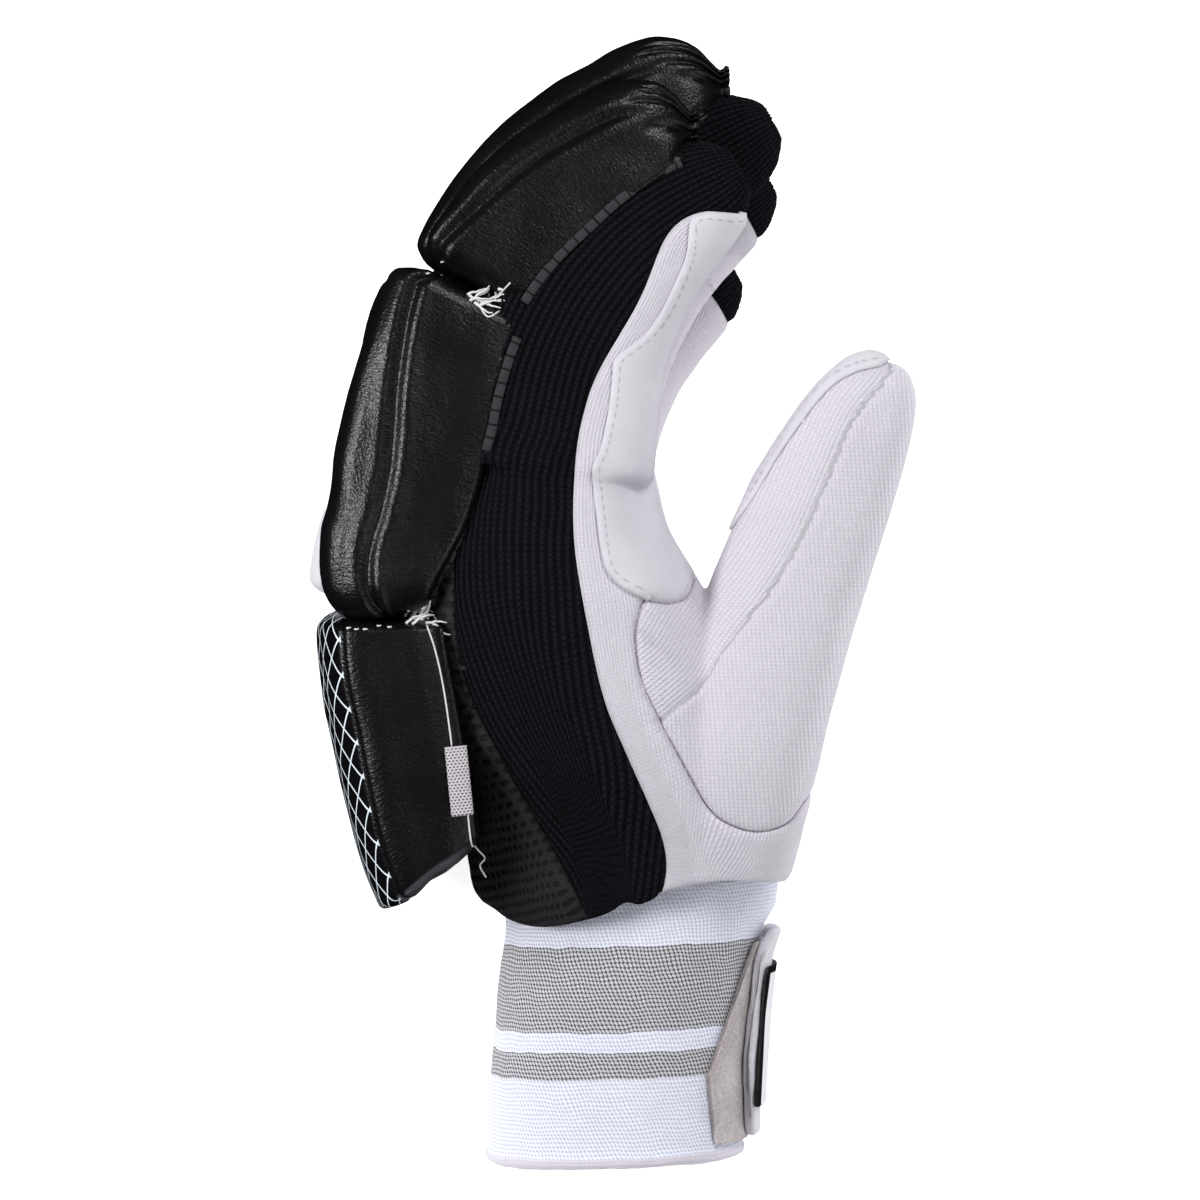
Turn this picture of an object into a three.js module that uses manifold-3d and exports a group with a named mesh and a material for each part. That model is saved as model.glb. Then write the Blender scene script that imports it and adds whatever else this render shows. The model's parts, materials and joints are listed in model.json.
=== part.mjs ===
// A cricket batting glove, lying on its little-finger side as it rests by itself.
// X runs from the back of the hand to the palm, Y from the cuff to the fingertips, and Z up from the
// little finger to the index finger. All lengths are in millimetres.
//
// The hand is hollow: a knitted, mesh and leather shell round one space for the hand, four fingers and
// the thumb. Foam-filled rolls and a wide pad are sewn over its back, and a knitted cuff with a
// touch-and-close strap holds it at the wrist.
import * as THREE from 'three';
import { mergeVertices } from 'three/addons/utils/BufferGeometryUtils.js';
import Module from 'manifold-3d';

const wasm = await Module();
wasm.setup();

// Driving sizes of the shell
const WALL = 2.2; // knit or leather with its lining
const SEAM_GAP = 0.3; // between pieces sewn edge to edge
const SEAT_GAP = 0.35; // between a pad and the shell that it is sewn to
const PATCH_GAP = 0.55; // between a leather patch and the panel beneath it
const REST_FLAT = 1.2; // how far the lower side is pressed flat where the glove rests

const PALM_LENGTH = 122; // lower rim to the roots of the fingers
const PALM_DEPTH = 76; // back of the hand to the palm, at the wrist
const PALM_WIDTH = 97; // little finger to index finger, at the knuckles
const RIM_TILT = 10.5; // degrees by which the lower rim rises towards the palm
const HAND_SIDES = 22;

const FINGER_LENGTH = 104; // the middle finger's
const FINGER_DEPTH = 46; // back to front, at the knuckle
const FINGER_WIDTH = 24.6;
const FINGER_PITCH = 24.2;
const FINGER_SIDES = 12;
const SEAM_TOP = 0.89; // share of a finger's length that the white front covers

const THUMB_LENGTH = 141;
const THUMB_BREADTH = 37; // across the thumb, in the plane of its bend
const THUMB_DEPTH = 44; // through the thumb's root
const THUMB_SIDES = 12;
const THUMB_ZONE = 0.45; // share of the palm's width above which the shell is the thumb's
const THUMB_POWER = 2.4; // how square the thumb is
const CUFF_POWER = 2.3; // how square the cuff is

// Driving sizes of the pads, the cuff and the strap
const TIP_ROLL_HEIGHT = 20;
const KNUCKLE_ROLL_HEIGHT = 27;
const ROLL_WIDTH = 23;
const BACK_PAD_HEIGHT = 28;
const BACK_PAD_WIDTH = 92;
const PAD_SINK = 4.8; // how far a pad reaches down beside the rounded shell
const FLASH_HEIGHT = 30.5;
const PATCH_THICKNESS = 1.2;

const CUFF_LENGTH = 70;
const CUFF_DEPTH = 67;
const CUFF_WIDTH = 66;
const CUFF_WALL = 2.6;
const CUFF_SIDES = 20;
const CUFF_LIFT = 2.2; // room under the cuff for the strap that passes round it
const STRAP_HEIGHT = 50;
const STRAP_BASE_THICKNESS = 1.6;
const STRAP_TAB_THICKNESS = 2.6;
const STRAP_PATCH_THICKNESS = 0.8;
const STRAP_PATCH_HEIGHT = 34;
const STRAP_PATCH_WIDTH = 30;

const LABEL_LENGTH = 16.5;
const LABEL_REACH = 6.5;
const LABEL_THICKNESS = 1;

// Derived places
const PALM_BOTTOM = -PALM_LENGTH * 0.64;
const RIM_Y = PALM_BOTTOM - 4.5; // the rim's back corner
const WRIST_LOW = -REST_FLAT;
const HAND_MIDDLE = WRIST_LOW + PALM_WIDTH / 2;
const REST_BACK = 20; // the resting point lies this far behind the wrist's line
const FAR = 400; // beyond every piece, for cutting blocks

// Sections of the hand from its rim to the fingers' roots. at is a share of PALM_LENGTH; back and front
// are shares of PALM_DEPTH from the wrist's line; high is a share of PALM_WIDTH; seam and mesh are shares
// of the section's own depth, where the palm's seam and the mesh's edge lie; power and corner set how
// square the section is towards the palm and towards the back.
const HAND_ROWS = [
  { at: -0.12, back: -0.37, front: 0.575, high: 0.79, seam: 0.5, mesh: 0.42, power: 2.2, corner: 2.2 },
  { at: 0.0, back: -0.38, front: 0.575, high: 0.79, seam: 0.53, mesh: 0.39, power: 2.2, corner: 2.2 },
  { at: 0.06, back: -0.452, front: 0.59, high: 0.81, seam: 0.6, mesh: 0.35, power: 2.3, corner: 2.3 },
  { at: 0.13, back: -0.455, front: 0.595, high: 0.835, seam: 0.61, mesh: 0.29, power: 2.4, corner: 2.8 },
  { at: 0.27, back: -0.49, front: 0.6, high: 0.905, seam: 0.56, mesh: 0.19, power: 2.5, corner: 4 },
  { at: 0.4, back: -0.525, front: 0.53, high: 0.95, seam: 0.53, mesh: 0.11, power: 2.6, corner: 5 },
  { at: 0.56, back: -0.57, front: 0.4, high: 0.985, seam: 0.535, mesh: 0.01, power: 2.7, corner: 5 },
  { at: 0.68, back: -0.575, front: 0.3, high: 1.0, seam: 0.557, mesh: -0.1, power: 2.8, corner: 5 },
  { at: 0.8, back: -0.52, front: 0.19, high: 1.0, seam: 0.57, mesh: -0.1, power: 2.8, corner: 5 },
  { at: 0.92, back: -0.455, front: 0.14, high: 0.99, seam: 0.6, mesh: -0.1, power: 2.6, corner: 4 },
  { at: 1.0, back: -0.36, front: 0.06, high: 0.93, seam: 0.6, mesh: -0.1, power: 2.4, corner: 3 },
];

// The fingers, from the lowest to the highest. rootX and rootY place the knuckle as shares of PALM_DEPTH
// and PALM_LENGTH; heading and curl are degrees from +Y towards the palm; length is a share of
// FINGER_LENGTH and thickness one of FINGER_DEPTH.
const FINGERS = [
  { name: 'little', rootX: -0.16, rootY: 0.83, heading: 10, curl: 52, length: 0.77, thickness: 0.9 },
  { name: 'ring', rootX: -0.175, rootY: 0.9, heading: 9, curl: 54, length: 0.933, thickness: 0.97 },
  { name: 'middle', rootX: -0.19, rootY: 0.94, heading: 7, curl: 54, length: 1, thickness: 1 },
  { name: 'index', rootX: -0.18, rootY: 0.9, heading: 5, curl: 54, length: 0.875, thickness: 1 },
];

// Where each finger's rolls lie on its back line: the upper one from joint to the tip and the lower one
// from knuckle to joint. dip is how much of KNUCKLE_ROLL_ROWS' lean the lower one has.
const FINGER_ROLLS = [
  { knuckle: 0.44, joint: 0.64, dip: -0.5 },
  { knuckle: 0.387, joint: 0.655, dip: -0.5 },
  { knuckle: 0.373, joint: 0.665, dip: -0.5 },
  { knuckle: 0.318, joint: 0.668, dip: 1 },
];

// Sections of a finger: depth and width are shares of FINGER_DEPTH and FINGER_WIDTH, and seam is the
// share of the half depth at which the white front begins.
const FINGER_ROWS = [
  { along: 0, depth: 1.03, width: 1, seam: 0.28, corner: 5 },
  { along: 0.2, depth: 1, width: 0.975, seam: 0.35, corner: 5 },
  { along: 0.4, depth: 0.94, width: 0.95, seam: 0.42, corner: 5 },
  { along: 0.58, depth: 0.84, width: 0.93, seam: 0.42, corner: 5 },
  { along: 0.75, depth: 0.71, width: 0.89, seam: 0.3, corner: 4 },
  { along: 0.87, depth: 0.59, width: 0.81, seam: 0.1, corner: 3.2 },
  { along: 0.95, depth: 0.44, width: 0.66, seam: 0, corner: 2.6 },
  { along: 1, depth: 0.22, width: 0.36, seam: 0, corner: 2.4 },
];
const FINGER_POWER = 2.5; // how square a finger is towards the palm

// The thumb's root and its sections: breadth, depth and lift are shares of THUMB_BREADTH, THUMB_DEPTH and
// PALM_WIDTH.
const THUMB = { rootX: 0.363, rootY: 0.02, heading: 7, curl: 20, length: THUMB_LENGTH };
const THUMB_ROWS = [
  { along: 0, breadth: 0.8, depth: 0.8, lift: 0.52 },
  { along: 0.14, breadth: 0.93, depth: 0.95, lift: 0.62 },
  { along: 0.28, breadth: 0.99, depth: 1, lift: 0.69 },
  { along: 0.42, breadth: 1, depth: 0.93, lift: 0.72 },
  { along: 0.56, breadth: 0.98, depth: 0.83, lift: 0.735 },
  { along: 0.7, breadth: 0.92, depth: 0.73, lift: 0.75 },
  { along: 0.82, breadth: 0.82, depth: 0.62, lift: 0.765 },
  { along: 0.91, breadth: 0.68, depth: 0.5, lift: 0.775 },
  { along: 0.97, breadth: 0.5, depth: 0.36, lift: 0.78 },
  { along: 1, breadth: 0.28, depth: 0.2, lift: 0.78 },
];

// The seam that sets the thumb into the palm, in shares of the thumb's length and half breadth.
const THUMB_SEAM = [
  { along: 0.58, across: -1.03 },
  { along: 0.545, across: -1.5 },
  { along: 0.515, across: -1.75 },
  { along: 0.46, across: -1.85 },
  { along: 0.38, across: -1.6 },
  { along: 0.28, across: -1.15 },
  { along: 0.2, across: -0.65 },
  { along: 0.16, across: -0.15 },
  { along: 0.165, across: 0.35 },
  { along: 0.2, across: 0.75 },
  { along: 0.21, across: 2.2 },
];

// Outlines of the leather patches, in shares of PALM_DEPTH from the wrist's line and of PALM_LENGTH from
// the rim.
const PALM_PATCH_OUTLINE = [
  { across: 0.31, at: 1.4 },
  { across: 0.24, at: 1.31 },
  { across: 0.18, at: 1.22 },
  { across: 0.115, at: 1.165 },
  { across: 0.015, at: 1.11 },
  { across: 0.005, at: 1.03 },
  { across: -0.03, at: 0.93 },
  { across: -0.045, at: 0.86 },
  { across: -0.01, at: 0.72 },
  { across: 0.03, at: 0.67 },
  { across: 0.12, at: 0.645 },
  { across: 0.22, at: 0.64 },
  { across: 0.28, at: 0.66 },
  { across: 0.33, at: 0.7 },
  { across: 0.36, at: 0.8 },
  { across: 0.6, at: 1.4 },
];
const FACING_OUTLINE = [
  { along: 0.56, across: -1.6 },
  { along: 0.57, across: -0.85 },
  { along: 0.68, across: -0.62 },
  { along: 0.78, across: -0.45 },
  { along: 0.88, across: -0.3 },
  { along: 0.955, across: -0.1 },
  { along: 0.975, across: 0.6 },
  { along: 1.1, across: 0.6 },
  { along: 1.1, across: -2 },
];

// Sections of the cuff from its tucked-in top to its free end: at is a share of CUFF_LENGTH, back and
// front are shares of CUFF_DEPTH from the wrist's line, and swell is the hem's extra thickness as a share
// of the cuff's wall.
const CUFF_ROWS = [
  { at: 0, back: -0.372, front: 0.64, swell: 0 },
  { at: 0.1, back: -0.378, front: 0.63, swell: 0 },
  { at: 0.2, back: -0.385, front: 0.58, swell: 0 },
  { at: 0.3, back: -0.398, front: 0.55, swell: 0 },
  { at: 0.5, back: -0.42, front: 0.526, swell: 0 },
  { at: 0.95, back: -0.445, front: 0.5, swell: 0 },
  { at: 0.965, back: -0.445, front: 0.5, swell: 0.3 },
  { at: 1, back: -0.442, front: 0.499, swell: 0.25 },
];
const STRAP_PLACE = 0.215; // share of the cuff's length at which the strap begins
const CUFF_TILT = 1.8; // degrees by which the free end rises towards the palm

// Edges of the strap that show, in shares of CUFF_DEPTH from the wrist's line and of STRAP_HEIGHT
const STRAP_BASE_EDGE = [
  { across: 0.53, up: 0.95 },
  { across: 0.36, up: 0.34 },
  { across: 0.385, up: 0 },
];
const STRAP_RETURN_EDGE = [
  { across: -0.05, up: 0.95 },
  { across: -0.05, up: 0 },
];
const STRAP_TAB_EDGE = [
  { across: 0.57, up: 1 },
  { across: 0.54, up: 0.9 },
  { across: 0.495, up: 0.4 },
  { across: 0.505, up: 0.03 },
];

// The label's place on the hand: inward is the share of its own reach from the pad's foot, turn in degrees.
const LABEL_PLACE = { at: 0.29, inward: 0.35, turn: 6 };

// Cross-section of a roll and of the wide pad: across is a share of the half width and up a share of the
// height. The step near three quarters of the width is the sewn crease along the roll.
const ROLL_SECTION = [
  { across: 0.99, up: 0 },
  { across: 1.03, up: 0.26 },
  { across: 1.0, up: 0.5 },
  { across: 0.85, up: 0.6 },
  { across: 0.74, up: 0.83 },
  { across: 0.3, up: 1 },
];
const BACK_PAD_SECTION = [
  { across: 0.98, up: 0 },
  { across: 1.01, up: 0.35 },
  { across: 0.99, up: 0.72 },
  { across: 0.95, up: 0.82 },
  { across: 0.7, up: 0.92 },
  { across: 0.38, up: 0.99 },
  { across: 0.1, up: 1 },
  { across: 0.035, up: 0.9 },
];

// Length profiles of the pads: along is a share of the pad's own length, lean tips the section towards
// the cuff in degrees, and pleat is the depth of the gathers as a share of the section.
const TIP_ROLL_ROWS = [
  { along: 0, height: 0.84, width: 0.86, lean: -2, pleat: 0 },
  { along: 0.035, height: 1.03, width: 0.97, lean: -2, pleat: 0 },
  { along: 0.25, height: 1.03, width: 1, lean: 0, pleat: 0 },
  { along: 0.52, height: 0.97, width: 1, lean: 2, pleat: 0 },
  { along: 0.76, height: 0.9, width: 0.95, lean: 6, pleat: 0.02 },
  { along: 0.89, height: 0.8, width: 0.88, lean: 8, pleat: 0.07 },
  { along: 0.96, height: 0.6, width: 0.74, lean: 4, pleat: 0.12 },
  { along: 1, height: 0.3, width: 0.5, lean: 0, pleat: 0.08 },
];
const KNUCKLE_ROLL_ROWS = [
  { along: 0, height: 0.8, width: 0.84, lean: 9, pleat: 0 },
  { along: 0.035, height: 0.96, width: 0.96, lean: 9, pleat: 0 },
  { along: 0.2, height: 1.04, width: 1, lean: 6, pleat: 0 },
  { along: 0.45, height: 1.02, width: 1, lean: 2, pleat: 0 },
  { along: 0.72, height: 0.96, width: 1, lean: 1, pleat: 0 },
  { along: 0.965, height: 0.88, width: 0.96, lean: -2, pleat: 0 },
  { along: 1, height: 0.72, width: 0.84, lean: -2, pleat: 0 },
];
const BACK_PAD_ROWS = [
  { along: 0, height: 0.76, width: 0.88, lean: 30, pleat: 0 },
  { along: 0.04, height: 0.92, width: 0.91, lean: 29, pleat: 0 },
  { along: 0.2, height: 1.0, width: 0.94, lean: 22, pleat: 0 },
  { along: 0.4, height: 1.02, width: 0.97, lean: 14, pleat: 0 },
  { along: 0.65, height: 1.02, width: 0.99, lean: 5, pleat: 0 },
  { along: 0.95, height: 1.0, width: 1, lean: -5, pleat: 0 },
  { along: 1, height: 0.88, width: 0.97, lean: -7, pleat: 0 },
];
const FLASH_ROWS = [
  { along: 0, height: 0.86, width: 0.96, lean: -6, pleat: 0 },
  { along: 0.12, height: 0.97, width: 1, lean: -6, pleat: 0 },
  { along: 0.88, height: 0.97, width: 1, lean: -2, pleat: 0 },
  { along: 1, height: 0.86, width: 0.96, lean: -2, pleat: 0 },
];

// Shares of the back line that the pads cover
const TIP_ROLL_END = 0.965;
const ROLL_BREAK = 0.004; // half the groove between the two rolls of a finger
const BACK_PAD_SPAN = [0.035, 0.289];
const FLASH_SPAN = [0.296, 0.365];

// Solids from geometry and back
function toSolid(geometry) {
  const bare = new THREE.BufferGeometry();
  bare.setAttribute('position', geometry.getAttribute('position'));
  if (geometry.index) bare.setIndex(geometry.index);
  const merged = mergeVertices(bare, 1e-4);
  const triVerts = new Uint32Array(merged.index.array);
  const vertProperties = new Float32Array(merged.attributes.position.array);
  const build = () => new wasm.Manifold(new wasm.Mesh({ numProp: 3, vertProperties, triVerts }));
  const solid = build();
  if (solid.volume() > 0) return solid;
  for (let i = 0; i < triVerts.length; i += 3) {
    [triVerts[i + 1], triVerts[i + 2]] = [triVerts[i + 2], triVerts[i + 1]];
  }
  return build();
}

function largestBody(solid) {
  return solid.decompose().reduce((a, b) => (b.volume() > a.volume() ? b : a));
}

function toGeometry(solid) {
  const mesh = largestBody(solid).getMesh();
  const points = new Float32Array(mesh.numVert * 3);
  for (let i = 0; i < mesh.numVert; i++) {
    points.set(mesh.vertProperties.subarray(i * mesh.numProp, i * mesh.numProp + 3), i * 3);
  }
  const geometry = new THREE.BufferGeometry();
  geometry.setAttribute('position', new THREE.BufferAttribute(points, 3));
  geometry.setIndex(new THREE.BufferAttribute(new Uint32Array(mesh.triVerts), 1));
  geometry.computeVertexNormals();
  return geometry;
}

const unite = (solids) => solids.reduce((a, b) => a.add(b));

// A closed solid through rings of equally many points, with a fan over each end.
function loft(rings) {
  const size = rings[0].length;
  const points = rings.flat().flatMap((p) => [p.x, p.y, p.z]);
  const faces = [];
  for (let r = 0; r + 1 < rings.length; r++) {
    for (let i = 0; i < size; i++) {
      const a = r * size + i;
      const b = r * size + ((i + 1) % size);
      faces.push(a, b, b + size, a, b + size, a + size);
    }
  }
  for (const [ring, turn] of [[0, 1], [rings.length - 1, -1]]) {
    const centre = new THREE.Vector3();
    rings[ring].forEach((p) => centre.add(p));
    centre.divideScalar(size);
    const hub = points.length / 3;
    points.push(centre.x, centre.y, centre.z);
    for (let i = 0; i < size; i++) {
      const a = ring * size + i;
      const b = ring * size + ((i + 1) % size);
      faces.push(...(turn > 0 ? [hub, b, a] : [hub, a, b]));
    }
  }
  const geometry = new THREE.BufferGeometry();
  geometry.setAttribute('position', new THREE.Float32BufferAttribute(points, 3));
  geometry.setIndex(faces);
  return toSolid(geometry);
}

// A rounded ring: across and up are the half axes, and power and corner set how square it is towards
// across and away from it.
function roundRing({ centre, across, up, power, corner = power, sides }) {
  return Array.from({ length: sides }, (_, i) => {
    const angle = (2 * Math.PI * (i + 0.5)) / sides;
    const bend = (v) => Math.sign(v) * Math.abs(v) ** (2 / (Math.cos(angle) < 0 ? corner : power));
    const point = centre.clone().addScaledVector(across, bend(Math.cos(angle)));
    return point.addScaledVector(up, bend(Math.sin(angle)));
  });
}

// A block that runs through Z between two heights, with an outline of [x, y] points.
function prism(outline, low, high) {
  const shape = new THREE.Shape(outline.map(([x, y]) => new THREE.Vector2(x, y)));
  const geometry = new THREE.ExtrudeGeometry(shape, { depth: high - low, bevelEnabled: false });
  geometry.translate(0, 0, low);
  return toSolid(geometry);
}

const EVERYWHERE = [[-FAR, -FAR], [FAR, -FAR], [FAR, FAR], [-FAR, FAR]];
const above = (z) => prism(EVERYWHERE, z, FAR);

// Reads a table between its rows: the share falls on column key.
function between(rows, key, share) {
  const last = rows.length - 1;
  let i = 0;
  while (i < last - 1 && rows[i + 1][key] < share) i++;
  const t = (share - rows[i][key]) / (rows[i + 1][key] - rows[i][key]);
  const row = {};
  for (const name of Object.keys(rows[i])) {
    row[name] = rows[i][name] + t * (rows[i + 1][name] - rows[i][name]);
  }
  return row;
}

// A path in the plane of the fingers' bend, whose heading eases from heading to heading + curl.
function bentPath({ x, y, heading, curl, length }) {
  const steps = 60;
  const stations = [{ x, y }];
  const angleAt = (share) => {
    const t = Math.min(Math.max(share, 0), 1);
    return ((heading + curl * t * t * (3 - 2 * t)) * Math.PI) / 180;
  };
  for (let i = 0; i < steps; i++) {
    const angle = angleAt((i + 0.5) / steps);
    const stride = length / steps;
    const from = stations[i];
    stations.push({ x: from.x + Math.sin(angle) * stride, y: from.y + Math.cos(angle) * stride });
  }
  return (share) => {
    const angle = angleAt(share);
    const i = Math.min(Math.max(Math.floor(share * steps), 0), steps - 1);
    const rest = share * steps - i;
    const point = new THREE.Vector3(
      stations[i].x + rest * (stations[i + 1].x - stations[i].x),
      stations[i].y + rest * (stations[i + 1].y - stations[i].y),
      0,
    );
    return { point, palmward: new THREE.Vector3(Math.cos(angle), -Math.sin(angle), 0) };
  };
}

const handY = (at) => PALM_BOTTOM + at * PALM_LENGTH;

function handSolid(grow) {
  const rings = HAND_ROWS.map((row) => {
    const low = WRIST_LOW - grow;
    const high = row.high * PALM_WIDTH + WRIST_LOW + grow;
    const back = row.back * PALM_DEPTH - grow;
    const front = row.front * PALM_DEPTH + grow;
    const y = handY(row.at) + grow * Math.max(row.at, 0);
    return roundRing({
      centre: new THREE.Vector3((back + front) / 2, y, (low + high) / 2),
      across: new THREE.Vector3((front - back) / 2, 0, 0),
      up: new THREE.Vector3(0, 0, (high - low) / 2),
      power: row.power,
      corner: row.corner,
      sides: HAND_SIDES,
    });
  });
  return loft(rings);
}

for (const [i, finger] of FINGERS.entries()) {
  finger.z = WRIST_LOW + FINGER_WIDTH / 2 + i * FINGER_PITCH;
  finger.low = i === 0 ? -FAR : finger.z - FINGER_PITCH / 2;
  finger.high = i === FINGERS.length - 1 ? FAR : finger.z + FINGER_PITCH / 2;
  finger.path = bentPath({
    x: finger.rootX * PALM_DEPTH,
    y: handY(finger.rootY),
    heading: finger.heading,
    curl: finger.curl,
    length: finger.length * FINGER_LENGTH,
  });
}

const fingerHalfDepth = (finger, row) => (row.depth * FINGER_DEPTH * finger.thickness) / 2;

function fingerSolid(finger, grow) {
  const stretch = 1 + grow / (finger.length * FINGER_LENGTH);
  const rings = FINGER_ROWS.map((row) => {
    const { point, palmward } = finger.path(row.along * stretch);
    return roundRing({
      centre: point.setZ(finger.z),
      across: palmward.multiplyScalar(Math.max(fingerHalfDepth(finger, row) + grow, 0.5)),
      up: new THREE.Vector3(0, 0, Math.max((row.width * FINGER_WIDTH) / 2 + grow, 0.5)),
      power: FINGER_POWER,
      corner: row.corner,
      sides: FINGER_SIDES,
    });
  });
  return loft(rings);
}

const thumbPath = bentPath({ ...THUMB, x: THUMB.rootX * PALM_DEPTH, y: handY(THUMB.rootY) });

function thumbSolid(grow) {
  const stretch = 1 + grow / THUMB_LENGTH;
  const rings = THUMB_ROWS.map((row) => {
    const { point, palmward } = thumbPath(row.along * stretch);
    return roundRing({
      centre: point.setZ(row.lift * PALM_WIDTH),
      across: palmward.multiplyScalar(Math.max((row.breadth * THUMB_BREADTH) / 2 + grow, 0.5)),
      up: new THREE.Vector3(0, 0, Math.max((row.depth * THUMB_DEPTH) / 2 + grow, 0.5)),
      power: THUMB_POWER,
      sides: THUMB_SIDES,
    });
  });
  return loft(rings);
}

// The filled glove, grown or shrunk by grow, and flat below.
function filledGlove(grow) {
  const fingers = FINGERS.map((finger) => fingerSolid(finger, grow));
  const body = unite([handSolid(grow), ...fingers, thumbSolid(grow)]);
  return body.intersect(above(-Math.min(grow, 0)));
}

// The half space below the tilted rim of the hand, lowered by gap
function belowRim(gap = 0) {
  const geometry = new THREE.BoxGeometry(2 * FAR, FAR, 2 * FAR);
  geometry.translate(0, -FAR / 2 - gap, 0);
  geometry.rotateZ((RIM_TILT * Math.PI) / 180);
  geometry.translate(HAND_ROWS[0].back * PALM_DEPTH, RIM_Y, 0);
  return toSolid(geometry);
}

// The seam between the white palm and the black gusset of one finger, as an outline round the palm's side
function palmOutline(finger, inset) {
  const outline = [];
  for (const row of HAND_ROWS.filter((r) => r.at < finger.rootY - 0.08)) {
    const back = row.back * PALM_DEPTH;
    const front = row.front * PALM_DEPTH;
    outline.push([back + row.seam * (front - back) + inset, handY(row.at)]);
  }
  const steps = 7;
  const endInset = inset / (finger.length * FINGER_LENGTH);
  for (let i = 0; i <= steps; i++) {
    const share = (SEAM_TOP * i) / steps - (i === steps ? endInset : 0);
    const row = between(FINGER_ROWS, 'along', share);
    const { point, palmward } = finger.path(share);
    point.addScaledVector(palmward, row.seam * fingerHalfDepth(finger, row) + inset);
    outline.push([point.x, point.y]);
  }
  const end = finger.path(SEAM_TOP - endInset);
  end.point.addScaledVector(end.palmward, FINGER_DEPTH);
  outline.push([end.point.x, end.point.y], [FAR, end.point.y], [FAR, -FAR], [outline[0][0], -FAR]);
  return outline;
}

const palmZone = (inset) =>
  unite(FINGERS.map((finger) => prism(palmOutline(finger, inset), finger.low - 0.01, finger.high + 0.01)));

// A point on the thumb's own plane, at shares of its length and of its half breadth
function thumbPoint({ along, across }) {
  const { point, palmward } = thumbPath(along);
  return point.addScaledVector(palmward, (across * THUMB_BREADTH) / 2);
}

function thumbZone(inset) {
  const middle = thumbPoint({ along: 0.6, across: 0 });
  const outline = THUMB_SEAM.map((row) => {
    const point = thumbPoint(row);
    point.addScaledVector(middle.clone().sub(point).normalize(), inset);
    return [point.x, point.y];
  });
  outline.push([FAR, outline.at(-1)[1]], [FAR, FAR]);
  for (const along of [1.3, 1, 0.8, 0.7]) {
    const point = thumbPoint({ along, across: -1.5 });
    outline.push([point.x, point.y]);
  }
  return prism(outline, THUMB_ZONE * PALM_WIDTH + inset, FAR);
}

function meshZone(inset) {
  const outline = [];
  for (const row of HAND_ROWS.filter((r) => r.mesh > -0.05)) {
    const back = row.back * PALM_DEPTH;
    const front = row.front * PALM_DEPTH;
    outline.push([back + row.mesh * (front - back) - inset, handY(row.at) - inset]);
  }
  outline.push([-FAR, outline.at(-1)[1]], [-FAR, -FAR], [outline[0][0], -FAR]);
  return prism(outline, -FAR, FAR);
}

// The line along the middle of the back of one finger and of the hand behind it, from the wrist up
function backLine(finger) {
  const points = [];
  for (const row of HAND_ROWS.filter((r) => r.at >= 0.05 && r.at < finger.rootY)) {
    points.push(new THREE.Vector3(row.back * PALM_DEPTH, handY(row.at), 0));
  }
  for (const row of FINGER_ROWS.filter((r) => r.along > 0.05)) {
    const { point, palmward } = finger.path(row.along);
    points.push(point.addScaledVector(palmward, -fingerHalfDepth(finger, row)));
  }
  return new THREE.CatmullRomCurve3(points);
}

// Where a pad's section stands on a back line, and the way it rises: lean tips it towards the cuff.
function padFoot(line, share, lean) {
  const base = line.getPointAt(share);
  const tangent = line.getTangentAt(share);
  const outward = new THREE.Vector3(-tangent.y, tangent.x, 0);
  outward.applyAxisAngle(new THREE.Vector3(0, 0, 1), (lean * Math.PI) / 180);
  return { base, outward };
}

// A padded roll or block on a back line, from one share of it to another.
function padSolid({ line, span, rows, section, height, width, z }) {
  const rings = rows.map((row) => {
    const { base, outward } = padFoot(line, span[0] + row.along * (span[1] - span[0]), row.lean);
    const half = section.map((p, i) => {
      const gather = 1 - row.pleat * (1 + Math.cos(Math.PI * i));
      return { across: p.across * gather, up: p.up * gather };
    });
    const outline = [
      { across: half[0].across * 0.9, up: -PAD_SINK / height },
      ...half,
      ...half.map((p) => ({ across: -p.across, up: p.up })).reverse(),
      { across: -half[0].across * 0.9, up: -PAD_SINK / height },
    ];
    return outline.map(({ across, up }) =>
      base
        .clone()
        .setZ(z + (across * row.width * width) / 2)
        .addScaledVector(outward, up * height * (up > 0 ? row.height : 1)),
    );
  });
  return loft(rings);
}

// A sheet that follows a filled form, from one distance outside it to another, within an outline
function overlay(form, clearance, thickness, outline, low, high = FAR) {
  const sheet = form(clearance + thickness).subtract(form(clearance));
  return sheet.intersect(prism(outline, low, high));
}

const cuffY = (at) => RIM_Y + CUFF_LENGTH * (0.2 - at);

function cuffSolid(grow, hem = 1) {
  const rings = CUFF_ROWS.map((row, i) => {
    const outside = grow + hem * row.swell * CUFF_WALL;
    const back = row.back * CUFF_DEPTH - outside;
    const front = row.front * CUFF_DEPTH + outside;
    const endward = i === 0 ? 1 : i === CUFF_ROWS.length - 1 ? -1 : 0;
    const y = cuffY(row.at) + endward * Math.max(-grow, 0);
    const half = (front - back) / 2;
    return roundRing({
      centre: new THREE.Vector3(0, y, CUFF_LIFT + CUFF_WIDTH / 2),
      across: new THREE.Vector3(half, half * Math.tan((CUFF_TILT * Math.PI) / 180), 0),
      up: new THREE.Vector3(0, 0, CUFF_WIDTH / 2 + outside),
      power: CUFF_POWER,
      sides: CUFF_SIDES,
    }).map((p) => p.setX(p.x + (back + front) / 2));
  });
  return loft(rings);
}

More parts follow.
